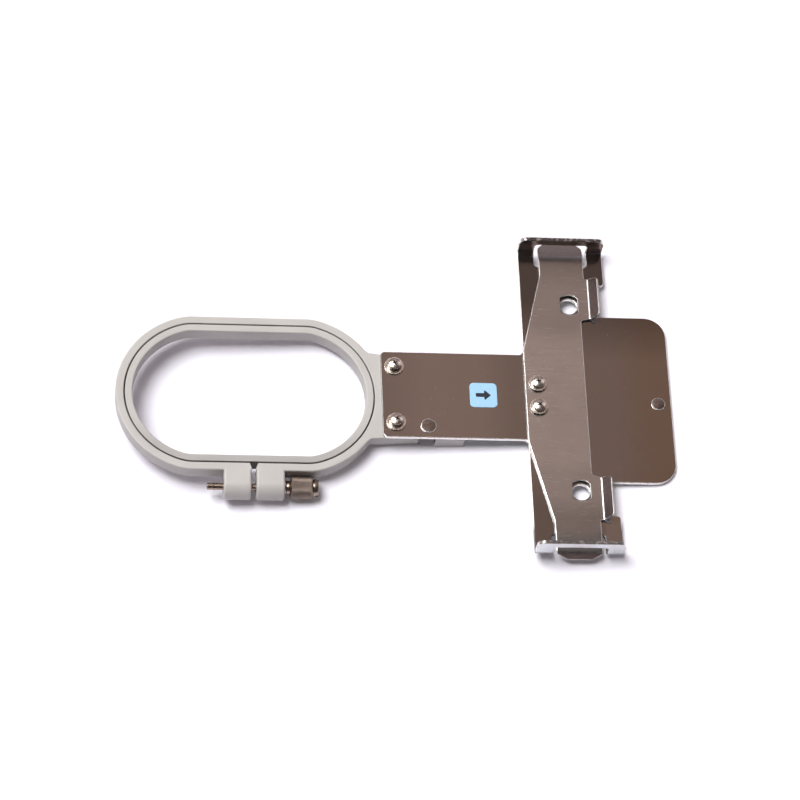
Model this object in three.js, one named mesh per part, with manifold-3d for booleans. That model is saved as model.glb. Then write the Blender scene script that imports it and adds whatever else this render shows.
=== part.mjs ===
// Machine embroidery hoop on a clip-on sheet-metal carrier, in millimetres, +Z up.
// The carrier's top face is z = 0. Inside this file x is measured from the line through the two
// locating holes, and every finished mesh is moved so that the seat on the tongue is the origin.
import * as THREE from 'three';
import { mergeVertices } from 'three/addons/utils/BufferGeometryUtils.js';
import Module from 'manifold-3d';

// Driving dimensions of the carrier sheet
const SEAT_X = 22;
const SHEET = 1.6;
const ARM_LEFT = -80.9;
const ARM_HALF = 20;
const ARM_CORNER = 2;
const BASE_LEFT = -20.6;
const BASE_RIGHT = 15.8;
const BASE_END = 72;
const INNER_CORNER = 2.2;
const NOTCH_X = 6.4;
const EAR_LONG = 17.6;
const EAR_CORNER = 1.6;
const TONGUE_RIGHT = 40.7;
const TONGUE_HALF = 39.1;
const TONGUE_CORNER = 9;
const FLANGE_TOP = 9.5;
const FLANGE_CORNER = 2.6;
const BEND_INNER = 0.8;
const WINDOW_LEFT = -13.5;
const WINDOW_RIGHT = 8.8;
const WINDOW_STRIP = 3.7;
const WINDOW_RUN = 8.8;
const WINDOW_CORNER = 1.6;
const HOLE_Y = 43.85;
const CARRIER_HOLE_R = 3.6;

// Driving dimensions of the spring plate
const LEAF = 1;
const LEAF_GAP = 0.3;
const LEAF_OVERHANG = 0.2;
const LEAF_WAIST = 21.5;
const LEAF_WAIST_R = 12;
const LEAF_TAPER_R = 9;
const LEAF_TAPER_RUN = 14;
const TAB_SIDE_GAP = 1.6;
const TAB_BEND_RUN = 9;
const TAB_BEND_R = 40;
const TAB_STICKOUT = 2.5;
const TAB_TIP_HALF = 6;
const TAB_CORNER = 1.5;
const LEAF_NOTCH_DEEP = 2.4;
const LEAF_NOTCH_HALF = 36.4;
const LIP_STEP = 0.8;
const LIP_LONG = 19.8;
const LIP_OUT = 1.2;
const LIP_FLARE = 4.4;
const LIP_BEND = 1;
const LIP_RELIEF = 0.8;
const NOTCH_CORNER = 0.8;
const D_HOLE_R = 4.8;
const D_HOLE_HALF = 3.65;

// Driving dimensions of the hoops
const ARM_LAP = 0.78;
const ARC_CENTRE = 18.8;
const SEAM_R = 32.8;
const FLAT_CUT = 0.7;
const SEAM_GAP = 0.36;
const OUTER_WALL = 3.5;
const INNER_WALL = 3.2;
const RING_HEIGHT = 7;
const RING_EDGE = 0.5;
const TAB_LONG = 34.5;
const TAB_THICK = 6;
const TAB_EDGE = 1.2;
const TAB_SLOT_WIDE = 7;
const TAB_SLOT_BEHIND = 5;
const TAB_SLOT_R = 2;
const TAB_SLOT_SHIFT = 0.5;

// Driving dimensions of the clamp
const SPLIT_OFFSET = 1.3;
const SPLIT = 2;
const SPLIT_MOUTH = 3.6;
const SPLIT_MOUTH_DEEP = 2.2;
const LUG_LONG_LEFT = 11.3;
const LUG_LONG_RIGHT = 11.7;
const LUG_R = 5.4;
const LUG_FOOT = 2.4;
const LUG_EDGE = 0.5;
const CLAMP_OUT = 5;
const SHANK_R = 1.5;
const SHANK_OVERHANG = 6.7;
const THRUST_THICK = 0.5;
const THRUST_R = 3;
const COLLAR_R = 2.8;
const COLLAR_LONG = 1.9;
const KNURL_R = 4.7;
const KNURL_LONG = 8.9;
const KNURL_EDGE = 0.4;
const CAP_R = 3.65;
const CAP_LONG = 2.5;
const CAP_SLOT = 1;
const CAP_SLOT_DEEP = 1.2;
const NUT_FLATS = 5.5;
const NUT_THICK = 2.4;

// Driving dimensions of screws, washers, pins and label
const SCREW_IN = 5.6;
const SCREW_Y = 13.1;
const LEAF_SCREW_IN = 5;
const LEAF_SCREW_Y = 5.45;
const HEAD_R = 2.75;
const HEAD_HIGH = 2;
const HEAD_SIDE = 0.9;
const HEAD_CROWN = 1.9;
const SCREW_TIP = 0.3;
const FLAT_WASHER_R = 4.1;
const FLAT_WASHER_THICK = 0.6;
const LOCK_WASHER_R = 2.9;
const LOCK_WASHER_THICK = 0.8;
const LEAF_WASHER_R = 3.8;
const LEAF_WASHER_THICK = 0.7;
const LEAF_PLAY = 0.45;
const INSERT_R = 2.5;
const INSERT_LONG = 4.8;
const CLINCH_R = 3;
const CLINCH_LONG = 2.2;
const PIN_IN = 19;
const PIN_Y = -14.6;
const PIN_HEAD_R = 3.3;
const PIN_HEAD_HIGH = 0.8;
const PIN_R = 2;
const PIN_LONG = 5;
const PIN_EDGE = 0.25;
const STUD_IN = 5.5;
const STUD_Y = -2.1;
const STUD_HEAD_R = 2.95;
const STUD_HEAD_HIGH = 0.7;
const STUD_R = 1.7;
const STUD_FOOT_R = 2.5;
const STUD_FOOT = 0.5;
const LABEL_IN = 42.5;
const LABEL_Y = 0.3;
const LABEL_SIDE = 11.4;
const LABEL_CORNER = 1.8;
const LABEL_THICK = 0.2;

// Named clearances
const BORE_GAP = 0.2;
const SHANK_GAP = 0.3;
const LEAF_HOLE_GAP = 0.4;
const POCKET_GAP = 0.15;
const TIP_GAP = 0.4;

// How far a cutter runs past the face it opens
const PAST = 1;

// Values that follow from the driving dimensions
const SEAM_FLAT = SEAM_R - FLAT_CUT;
const RING_TOP = -SHEET;
const RING_BOTTOM = RING_TOP - RING_HEIGHT;
const TAB_BOTTOM = RING_TOP - TAB_THICK;
const OUTER_INSIDE = SEAM_GAP / 2;
const OUTER_OUTSIDE = OUTER_INSIDE + OUTER_WALL;
const INNER_OUTSIDE = -SEAM_GAP / 2;
const INNER_INSIDE = INNER_OUTSIDE - INNER_WALL;
const HOOP_X = ARM_LEFT + ARM_LAP - ARC_CENTRE - SEAM_R - OUTER_OUTSIDE;
const TAB_END = ARM_LEFT + TAB_LONG;
const SPLIT_X = HOOP_X + SPLIT_OFFSET;
const LUG_LEFT = SPLIT_X - SPLIT / 2 - LUG_LONG_LEFT;
const LUG_RIGHT = SPLIT_X + SPLIT / 2 + LUG_LONG_RIGHT;
const CLAMP_Y = -(SEAM_FLAT + OUTER_OUTSIDE + CLAMP_OUT);
const CLAMP_Z = RING_TOP - LUG_R;
const SHANK_TIP = LUG_LEFT - SHANK_OVERHANG;
const COLLAR_X = LUG_RIGHT + THRUST_THICK;
const KNURL_X = COLLAR_X + COLLAR_LONG;
const CAP_X = KNURL_X + KNURL_LONG;
const CAP_END = CAP_X + CAP_LONG;
const BEND_OUTER = BEND_INNER + SHEET;
const BEND_Y = BASE_END - BEND_OUTER;
const EAR_START = BASE_END - EAR_LONG;
const WINDOW_TOP = FLANGE_TOP - WINDOW_STRIP;
const WINDOW_INNER = BASE_END - WINDOW_RUN;
const LEAF_TOP = LEAF_GAP + LEAF;
const LEAF_LEFT = BASE_LEFT - LEAF_OVERHANG;
const TAB_LEFT = WINDOW_LEFT + TAB_SIDE_GAP;
const TAB_RIGHT = WINDOW_RIGHT - TAB_SIDE_GAP;
const TAB_MIDDLE = (TAB_LEFT + TAB_RIGHT) / 2;
const TAB_BEND_START = BASE_END - TAB_BEND_RUN;
const TAB_TIP = BASE_END + TAB_STICKOUT;
const LEAF_TAPER_END = BASE_END - LEAF_TAPER_RUN;
const LEAF_NOTCH_X = TAB_RIGHT - LEAF_NOTCH_DEEP;
const LIP_START = LEAF_NOTCH_HALF + LIP_STEP;
const LIP_END = LIP_START + LIP_LONG;
const LIP_X = TAB_RIGHT + LIP_OUT;
const LIP_REACH = LIP_X + LIP_FLARE;
const SCREW_X = ARM_LEFT + SCREW_IN;
const LEAF_SCREW_X = BASE_LEFT + LEAF_SCREW_IN;
const PIN_X = ARM_LEFT + PIN_IN;
const TAB_SLOT_LEFT = PIN_X - TAB_SLOT_SHIFT - TAB_SLOT_WIDE / 2;
const TAB_SLOT_RIGHT = TAB_SLOT_LEFT + TAB_SLOT_WIDE;
const TAB_SLOT_END = PIN_Y + TAB_SLOT_BEHIND;
const STUD_X = TONGUE_RIGHT - STUD_IN;
const LABEL_X = ARM_LEFT + LABEL_IN;

const wasm = await Module();
wasm.setup();

// A closed three.js geometry becomes a solid that can take booleans
function solid(geometry) {
  const bare = geometry.index ? geometry.toNonIndexed() : geometry.clone();
  bare.deleteAttribute('normal');
  bare.deleteAttribute('uv');
  const merged = mergeVertices(bare, 1e-4);
  return new wasm.Manifold(new wasm.Mesh({
    numProp: 3,
    vertProperties: new Float32Array(merged.attributes.position.array),
    triVerts: new Uint32Array(merged.index.array),
  }));
}

// A polygon whose corners carry a radius becomes a list of points
function roundedPoints(corners, steps = 6) {
  const points = [];
  for (let i = 0; i < corners.length; i += 1) {
    const [x, y, r = 0] = corners[i];
    const here = new THREE.Vector2(x, y);
    if (r === 0) {
      points.push(here);
      continue;
    }
    const before = new THREE.Vector2(...corners[(i + corners.length - 1) % corners.length].slice(0, 2));
    const after = new THREE.Vector2(...corners[(i + 1) % corners.length].slice(0, 2));
    const inward = before.sub(here).normalize();
    const outward = after.sub(here).normalize();
    const half = Math.acos(THREE.MathUtils.clamp(inward.dot(outward), -1, 1)) / 2;
    const reach = r / Math.tan(half);
    const start = here.clone().addScaledVector(inward, reach);
    const end = here.clone().addScaledVector(outward, reach);
    const middle = inward.clone().add(outward).normalize();
    const centre = here.clone().addScaledVector(middle, r / Math.sin(half));
    const from = Math.atan2(start.y - centre.y, start.x - centre.x);
    let sweep = Math.atan2(end.y - centre.y, end.x - centre.x) - from;
    if (sweep > Math.PI) sweep -= 2 * Math.PI;
    if (sweep < -Math.PI) sweep += 2 * Math.PI;
    for (let k = 0; k <= steps; k += 1) {
      const angle = from + (sweep * k) / steps;
      points.push(new THREE.Vector2(centre.x + r * Math.cos(angle), centre.y + r * Math.sin(angle)));
    }
  }
  return points;
}

function extruded(points, depth) {
  return new THREE.ExtrudeGeometry(new THREE.Shape(points), { depth, bevelEnabled: false, steps: 1 });
}

// An extrusion whose outline keeps its size and whose end edges are rounded off
function rounded(shape, depth, edge) {
  return new THREE.ExtrudeGeometry(shape, {
    depth: depth - 2 * edge,
    steps: 1,
    bevelEnabled: true,
    bevelThickness: edge,
    bevelSize: edge,
    bevelOffset: -edge,
    bevelSegments: 2,
  }).translate(0, 0, edge);
}

// Plan outline, from z0 up to z1
function prismZ(points, z0, z1) {
  return solid(extruded(points, z1 - z0).translate(0, 0, z0));
}

// Outline in (y, z), from x0 to x1, with its end edges rounded off by an edge radius
function prismX(points, x0, x1, edge = 0) {
  const turn = new THREE.Matrix4().makeBasis(
    new THREE.Vector3(0, 1, 0), new THREE.Vector3(0, 0, 1), new THREE.Vector3(1, 0, 0));
  const made = edge > 0 ? rounded(new THREE.Shape(points), x1 - x0, edge) : extruded(points, x1 - x0);
  return solid(made.applyMatrix4(turn).translate(x0, 0, 0));
}

// Outline in (x, z), from y0 to y1
function prismY(points, y0, y1) {
  const turn = new THREE.Matrix4().makeBasis(
    new THREE.Vector3(1, 0, 0), new THREE.Vector3(0, 0, 1), new THREE.Vector3(0, -1, 0));
  return solid(extruded(points, y1 - y0).applyMatrix4(turn).translate(0, y1, 0));
}

function circle(x, y, r, count = 32) {
  return Array.from({ length: count }, (_, i) => {
    const angle = (2 * Math.PI * (i + 0.5)) / count;
    return new THREE.Vector2(x + r * Math.cos(angle), y + r * Math.sin(angle));
  });
}

function rectangle(x0, y0, x1, y1, r = 0) {
  return roundedPoints([[x0, y0, r], [x1, y0, r], [x1, y1, r], [x0, y1, r]]);
}

function mirrored(points) {
  return points.map((p) => new THREE.Vector2(p.x, -p.y)).reverse();
}

// A ring with flat ends, z0 to z1
function washer(x, y, outer, inner, z0, z1, count = 32) {
  return prismZ(circle(x, y, outer, count), z0, z1)
    .subtract(prismZ(circle(x, y, inner, count), z0 - PAST, z1 + PAST));
}

// Carrier sheet
function makeCarrier() {
  const plan = roundedPoints([
    [ARM_LEFT, -ARM_HALF, ARM_CORNER],
    [BASE_LEFT, -ARM_HALF, INNER_CORNER],
    [BASE_LEFT, -BEND_Y],
    [BASE_RIGHT, -BEND_Y],
    [BASE_RIGHT, -EAR_START, EAR_CORNER],
    [NOTCH_X, -EAR_START, INNER_CORNER],
    [NOTCH_X, -TONGUE_HALF, INNER_CORNER],
    [TONGUE_RIGHT, -TONGUE_HALF, TONGUE_CORNER],
    [TONGUE_RIGHT, TONGUE_HALF, TONGUE_CORNER],
    [NOTCH_X, TONGUE_HALF, INNER_CORNER],
    [NOTCH_X, EAR_START, INNER_CORNER],
    [BASE_RIGHT, EAR_START, EAR_CORNER],
    [BASE_RIGHT, BEND_Y],
    [BASE_LEFT, BEND_Y],
    [BASE_LEFT, ARM_HALF, INNER_CORNER],
    [ARM_LEFT, ARM_HALF, ARM_CORNER],
  ], 8);
  let sheet = prismZ(plan, -SHEET, 0);
  // The flange's section: a short flat, the bend and the upright
  const section = [new THREE.Vector2(BEND_Y - PAST, -SHEET)];
  for (let k = 0; k <= 8; k += 1) {
    const angle = -Math.PI / 2 + (Math.PI / 2) * (k / 8);
    section.push(new THREE.Vector2(BEND_Y + BEND_OUTER * Math.cos(angle),
      BEND_INNER + BEND_OUTER * Math.sin(angle)));
  }
  section.push(new THREE.Vector2(BASE_END, FLANGE_TOP));
  section.push(new THREE.Vector2(BASE_END - SHEET, FLANGE_TOP));
  for (let k = 8; k >= 0; k -= 1) {
    const angle = -Math.PI / 2 + (Math.PI / 2) * (k / 8);
    section.push(new THREE.Vector2(BEND_Y + BEND_INNER * Math.cos(angle),
      BEND_INNER + BEND_INNER * Math.sin(angle)));
  }
  section.push(new THREE.Vector2(BEND_Y - PAST, 0));
  const face = roundedPoints([
    [BASE_LEFT, -SHEET - PAST], [BASE_RIGHT, -SHEET - PAST],
    [BASE_RIGHT, FLANGE_TOP, FLANGE_CORNER], [BASE_LEFT, FLANGE_TOP, FLANGE_CORNER],
  ], 8);
  const windowPlan = rectangle(WINDOW_LEFT, WINDOW_INNER, WINDOW_RIGHT,
    BASE_END + 2 * WINDOW_CORNER + PAST, WINDOW_CORNER);
  const windowFace = rectangle(WINDOW_LEFT, -SHEET - 2 * WINDOW_CORNER - PAST, WINDOW_RIGHT,
    WINDOW_TOP, WINDOW_CORNER);
  for (const side of [1, -1]) {
    const cut = side > 0 ? section : section.map((p) => new THREE.Vector2(-p.x, p.y)).reverse();
    const flange = prismX(cut, BASE_LEFT, BASE_RIGHT)
      .intersect(prismY(face, -BASE_END - PAST, BASE_END + PAST));
    sheet = sheet.add(flange);
    const windowBase = side > 0 ? windowPlan : mirrored(windowPlan);
    sheet = sheet.subtract(prismZ(windowBase, -SHEET - PAST, BEND_INNER));
    sheet = sheet.subtract(prismY(windowFace, side > 0 ? BEND_Y : -BASE_END - PAST,
      side > 0 ? BASE_END + PAST : -BEND_Y));
    sheet = sheet.subtract(prismZ(circle(0, side * HOLE_Y, CARRIER_HOLE_R, 40), -SHEET - PAST, PAST));
    sheet = sheet.subtract(prismZ(circle(SCREW_X, side * SCREW_Y, SHANK_R + BORE_GAP), -SHEET - PAST, PAST));
    sheet = sheet.subtract(prismZ(circle(LEAF_SCREW_X, side * LEAF_SCREW_Y, SHANK_R + BORE_GAP),
      -SHEET - PAST, PAST));
  }
  sheet = sheet.subtract(prismZ(circle(PIN_X, PIN_Y, PIN_R + BORE_GAP), -SHEET - PAST, PAST));
  sheet = sheet.subtract(prismZ(circle(STUD_X, STUD_Y, STUD_R + BORE_GAP), -SHEET - PAST, PAST));
  return sheet;
}

// Spring plate: a bent section cut to the plan outline, plus the flared lips
function makeLeaf() {
  const top = [];
  const under = [];
  const ends = 10;
  for (let k = 0; k <= ends; k += 1) {
    const angle = ((TAB_TIP - TAB_BEND_START) / TAB_BEND_R) * (k / ends);
    const r = TAB_BEND_R;
    const z = LEAF_TOP - r * (1 - Math.cos(angle));
    const y = TAB_BEND_START + r * Math.sin(angle);
    top.push(new THREE.Vector2(y, z));
    under.push(new THREE.Vector2(y - LEAF * Math.sin(angle), z - LEAF * Math.cos(angle)));
  }
  const right = [...under, ...[...top].reverse()];
  const left = right.map((p) => new THREE.Vector2(-p.x, p.y)).reverse();
  const section = [...right, ...left];
  const half = [
    [LEAF_LEFT, LEAF_WAIST, LEAF_WAIST_R],
    [TAB_LEFT, LEAF_TAPER_END, LEAF_TAPER_R],
    [TAB_LEFT, BASE_END, TAB_CORNER],
    [TAB_MIDDLE - TAB_TIP_HALF, TAB_TIP + PAST],
    [TAB_MIDDLE + TAB_TIP_HALF, TAB_TIP + PAST],
    [TAB_RIGHT, BASE_END, TAB_CORNER],
    [TAB_RIGHT, LIP_END],
    [LIP_X, LIP_END],
    [LIP_X, LIP_START],
    [LEAF_NOTCH_X, LEAF_NOTCH_HALF, NOTCH_CORNER],
  ];
  const plan = roundedPoints([...half, ...half.map(([x, y, r]) => [x, -y, r]).reverse()].reverse(), 6);
  const deep = LEAF_TOP + TAB_BEND_R;
  let leaf = prismX(section, LEAF_LEFT - PAST, LIP_REACH + PAST).intersect(prismZ(plan, -deep, deep));
  // The lip's section in (x, z): flat, a 45 degree bend and the flared end
  const lipSection = [];
  const lipTop = [];
  const lipUnder = [];
  for (let k = 0; k <= 4; k += 1) {
    const angle = (Math.PI / 4) * (k / 4);
    const centreZ = LEAF_TOP + LIP_BEND;
    lipTop.push(new THREE.Vector2(LIP_X + LIP_BEND * Math.sin(angle), centreZ - LIP_BEND * Math.cos(angle)));
    lipUnder.push(new THREE.Vector2(LIP_X + (LIP_BEND + LEAF) * Math.sin(angle),
      centreZ - (LIP_BEND + LEAF) * Math.cos(angle)));
  }
  const run = LIP_REACH - lipUnder[4].x;
  const tipUnder = new THREE.Vector2(LIP_REACH, lipUnder[4].y + run);
  const tipTop = new THREE.Vector2(LIP_REACH - LEAF * Math.SQRT1_2, tipUnder.y + LEAF * Math.SQRT1_2);
  lipSection.push(new THREE.Vector2(LEAF_NOTCH_X, LEAF_GAP));
  lipSection.push(...lipUnder, tipUnder, tipTop, ...[...lipTop].reverse());
  lipSection.push(new THREE.Vector2(LEAF_NOTCH_X, LEAF_TOP));
  const lipPlan = roundedPoints([
    [LEAF_NOTCH_X - PAST, LIP_START], [LIP_X, LIP_START], [LIP_REACH + PAST, LIP_START + LIP_RELIEF],
    [LIP_REACH + PAST, LIP_END - LIP_RELIEF], [LIP_X, LIP_END], [LEAF_NOTCH_X - PAST, LIP_END],
  ]);
  const dHole = [];
  const slice = Math.acos(D_HOLE_HALF / D_HOLE_R);
  for (let k = 0; k <= 12; k += 1) {
    const angle = slice + (Math.PI - 2 * slice) * (k / 12);
    dHole.push(new THREE.Vector2(D_HOLE_R * Math.cos(angle), D_HOLE_R * Math.sin(angle)));
  }
  for (let k = 0; k <= 12; k += 1) {
    const angle = Math.PI + slice + (Math.PI - 2 * slice) * (k / 12);
    dHole.push(new THREE.Vector2(D_HOLE_R * Math.cos(angle), D_HOLE_R * Math.sin(angle)));
  }
  for (const side of [1, -1]) {
    const lip = prismY(lipSection, -LIP_END - PAST, LIP_END + PAST);
    const outline = side > 0 ? lipPlan : mirrored(lipPlan);
    leaf = leaf.add(lip.intersect(prismZ(outline, -PAST, LEAF_TOP + 2 * LIP_FLARE)));
    const hole = dHole.map((p) => new THREE.Vector2(p.x, p.y + side * HOLE_Y));
    leaf = leaf.subtract(prismZ(hole, -PAST, LEAF_TOP + PAST));
    leaf = leaf.subtract(prismZ(circle(LEAF_SCREW_X, side * LEAF_SCREW_Y, SHANK_R + LEAF_HOLE_GAP),
      -PAST, LEAF_TOP + PAST));
  }
  return leaf;
}

// The hoop's outline grown by an offset: two arcs cut off by two flats
function hoopOutline(offset, steps = 36) {
  const r = SEAM_R + offset;
  const flat = SEAM_FLAT + offset;
  const open = Math.asin(flat / r);
  const points = [];
  for (let k = 0; k <= steps; k += 1) {
    const angle = -open + (2 * open * k) / steps;
    points.push(new THREE.Vector2(HOOP_X + ARC_CENTRE + r * Math.cos(angle), r * Math.sin(angle)));
  }
  for (let k = 0; k <= steps; k += 1) {
    const angle = Math.PI - open + (2 * open * k) / steps;
    points.push(new THREE.Vector2(HOOP_X - ARC_CENTRE + r * Math.cos(angle), r * Math.sin(angle)));
  }
  return points;
}

// A ring between two offsets of the outline, with its edges broken
function ring(outer, inner) {
  const shape = new THREE.Shape(hoopOutline(outer));
  shape.holes.push(new THREE.Path(hoopOutline(inner).reverse()));
  return solid(rounded(shape, RING_HEIGHT, RING_EDGE).translate(0, 0, RING_BOTTOM));
}

function makeOuterHoop() {
  let hoop = ring(OUTER_OUTSIDE, OUTER_INSIDE);
  // The tab under the arm starts inside the ring's wall and is trimmed by the ring's inner face
  const root = HOOP_X + ARC_CENTRE + Math.sqrt((SEAM_R + OUTER_INSIDE) ** 2 - ARM_HALF ** 2);
  const hollow = prismZ(hoopOutline(OUTER_INSIDE + RING_EDGE), RING_BOTTOM - 2 * LUG_R, RING_TOP + PAST);
  const tab = prismZ(roundedPoints([
    [root, -ARM_HALF], [TAB_END, -ARM_HALF, TAB_EDGE], [TAB_END, ARM_HALF, TAB_EDGE], [root, ARM_HALF],
  ], 4), TAB_BOTTOM, RING_TOP);
  const face = -SEAM_FLAT - OUTER_INSIDE;
  const lug = [new THREE.Vector2(face - RING_EDGE, RING_TOP), new THREE.Vector2(CLAMP_Y, RING_TOP)];
  for (let k = 1; k <= 18; k += 1) {
    const angle = Math.PI / 2 + Math.PI * (k / 18);
    lug.push(new THREE.Vector2(CLAMP_Y + LUG_R * Math.cos(angle), CLAMP_Z + LUG_R * Math.sin(angle)));
  }
  lug.push(new THREE.Vector2(CLAMP_Y + LUG_FOOT, CLAMP_Z - LUG_R));
  lug.push(new THREE.Vector2(face - OUTER_WALL, RING_BOTTOM + RING_EDGE));
  lug.push(new THREE.Vector2(face - RING_EDGE, RING_BOTTOM + RING_EDGE));
  const lugs = prismX(lug, LUG_LEFT, SPLIT_X - SPLIT / 2, LUG_EDGE)
    .add(prismX(lug, SPLIT_X + SPLIT / 2, LUG_RIGHT, LUG_EDGE));
  hoop = hoop.add(tab.add(lugs).subtract(hollow));
  // The split between the lugs, with a wider mouth at the inner face
  hoop = hoop.subtract(prismZ([
    new THREE.Vector2(SPLIT_X - SPLIT_MOUTH / 2, face + PAST),
    new THREE.Vector2(SPLIT_X - SPLIT_MOUTH / 2, face),
    new THREE.Vector2(SPLIT_X - SPLIT / 2, face - SPLIT_MOUTH_DEEP),
    new THREE.Vector2(SPLIT_X - SPLIT / 2, CLAMP_Y - LUG_R - PAST),
    new THREE.Vector2(SPLIT_X + SPLIT / 2, CLAMP_Y - LUG_R - PAST),
    new THREE.Vector2(SPLIT_X + SPLIT / 2, face - SPLIT_MOUTH_DEEP),
    new THREE.Vector2(SPLIT_X + SPLIT_MOUTH / 2, face),
    new THREE.Vector2(SPLIT_X + SPLIT_MOUTH / 2, face + PAST),
  ], RING_BOTTOM - 2 * LUG_R, RING_TOP + PAST));
  hoop = hoop.subtract(prismX(circle(CLAMP_Y, CLAMP_Z, SHANK_R + SHANK_GAP),
    LUG_LEFT - PAST, LUG_RIGHT + PAST));
  hoop = hoop.subtract(prismX(hexagon(NUT_FLATS / 2 + POCKET_GAP), LUG_LEFT - PAST, LUG_LEFT + NUT_THICK));
  hoop = hoop.subtract(prismZ(rectangle(TAB_SLOT_LEFT, -ARM_HALF - 2 * TAB_SLOT_R - PAST, TAB_SLOT_RIGHT,
    TAB_SLOT_END, TAB_SLOT_R), TAB_BOTTOM - PAST, RING_TOP + PAST));
  for (const side of [1, -1]) {
    hoop = hoop.subtract(prismZ(circle(SCREW_X, side * SCREW_Y, INSERT_R + POCKET_GAP),
      RING_TOP - INSERT_LONG, RING_TOP + PAST));
  }
  return hoop;
}

function hexagon(inner) {
  return Array.from({ length: 6 }, (_, i) => {
    const angle = (Math.PI / 3) * i;
    const r = inner / Math.cos(Math.PI / 6);
    return new THREE.Vector2(CLAMP_Y + r * Math.cos(angle), CLAMP_Z + r * Math.sin(angle));
  });
}

function makeInnerHoop() {
  return ring(INNER_OUTSIDE, INNER_INSIDE);
}

function makeThumbScrew() {
  const outline = [
    [0, SHANK_TIP], [SHANK_R - SCREW_TIP, SHANK_TIP], [SHANK_R, SHANK_TIP + SCREW_TIP],
    [SHANK_R, COLLAR_X], [COLLAR_R, COLLAR_X], [COLLAR_R, KNURL_X],
    [KNURL_R - KNURL_EDGE, KNURL_X], [KNURL_R, KNURL_X + KNURL_EDGE],
    [KNURL_R, CAP_X - KNURL_EDGE], [KNURL_R - KNURL_EDGE, CAP_X], [CAP_R, CAP_X],
    [CAP_R, CAP_END - KNURL_EDGE], [CAP_R - KNURL_EDGE, CAP_END], [0, CAP_END],
  ];
  const lathe = new THREE.LatheGeometry(outline.map(([r, x]) => new THREE.Vector2(r, x)), 40);
  lathe.rotateZ(-Math.PI / 2).translate(0, CLAMP_Y, CLAMP_Z);
  const slot = new THREE.BoxGeometry(2 * CAP_SLOT_DEEP, 2 * (CAP_R + PAST), CAP_SLOT)
    .translate(CAP_END, CLAMP_Y, CLAMP_Z);
  return solid(lathe).subtract(solid(slot));
}

function panScrew(x, y, seat, tip) {
  const outline = [
    [0, tip], [SHANK_R - SCREW_TIP, tip], [SHANK_R, tip + SCREW_TIP], [SHANK_R, seat], [HEAD_R, seat],
  ];
  // The crown is a quarter of an ellipse from the straight side to the flat top
  for (let k = 0; k <= 5; k += 1) {
    const angle = (Math.PI / 2) * (k / 5);
    outline.push([HEAD_R - HEAD_CROWN + HEAD_CROWN * Math.cos(angle),
      seat + HEAD_SIDE + (HEAD_HIGH - HEAD_SIDE) * Math.sin(angle)]);
  }
  outline.push([0, seat + HEAD_HIGH]);
  return solid(latheUp(outline, x, y));
}

function latheUp(outline, x, y, count = 24) {
  const lathe = new THREE.LatheGeometry(outline.map(([r, z]) => new THREE.Vector2(r, z)), count);
  return lathe.rotateX(Math.PI / 2).translate(x, y, 0);
}

// Materials, one per mesh
function material(colour, roughness, metalness) {
  return new THREE.MeshStandardMaterial({ color: new THREE.Color(colour), roughness, metalness });
}

const group = new THREE.Group();
group.name = 'embroidery_hoop';

function place(name, body, colour, roughness, metalness) {
  const made = body.getMesh();
  const geometry = new THREE.BufferGeometry();
  const count = made.vertProperties.length / made.numProp;
  const positions = new Float32Array(count * 3);
  for (let i = 0; i < count; i += 1) {
    positions[3 * i] = made.vertProperties[made.numProp * i] - SEAT_X;
    positions[3 * i + 1] = made.vertProperties[made.numProp * i + 1];
    positions[3 * i + 2] = made.vertProperties[made.numProp * i + 2];
  }
  geometry.setAttribute('position', new THREE.BufferAttribute(positions, 3));
  geometry.setIndex(new THREE.BufferAttribute(new Uint32Array(made.triVerts), 1));
  const flat = geometry.toNonIndexed();
  flat.computeVertexNormals();
  const mesh = new THREE.Mesh(flat, material(colour, roughness, metalness));
  mesh.name = name;
  group.add(mesh);
}

const STEEL = 0x7d716b;
const LEAF_STEEL = 0x968a84;
const PLASTIC = 0xcfccc6;
const BRIGHT = 0xc9c1b4;
const BRASS = 0xb79a5a;
const KNURLED = 0x8a7d72;
const BLUE = 0x9cc9ec;

place('carrier_plate', makeCarrier(), STEEL, 0.25, 1);
place('spring_plate', makeLeaf(), LEAF_STEEL, 0.32, 1);
place('outer_hoop', makeOuterHoop(), PLASTIC, 0.5, 0);
place('inner_hoop', makeInnerHoop(), PLASTIC, 0.5, 0);
place('thumb_screw', makeThumbScrew(), KNURLED, 0.35, 1);
const clampBore = prismX(circle(CLAMP_Y, CLAMP_Z, SHANK_R + BORE_GAP), LUG_LEFT - PAST, COLLAR_X + PAST);
place('thrust_washer', prismX(circle(CLAMP_Y, CLAMP_Z, THRUST_R), LUG_RIGHT, COLLAR_X).subtract(clampBore),
  BRIGHT, 0.3, 1);
place('clamp_nut', prismX(hexagon(NUT_FLATS / 2), LUG_LEFT, LUG_LEFT + NUT_THICK).subtract(clampBore),
  BRIGHT, 0.35, 1);

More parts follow.
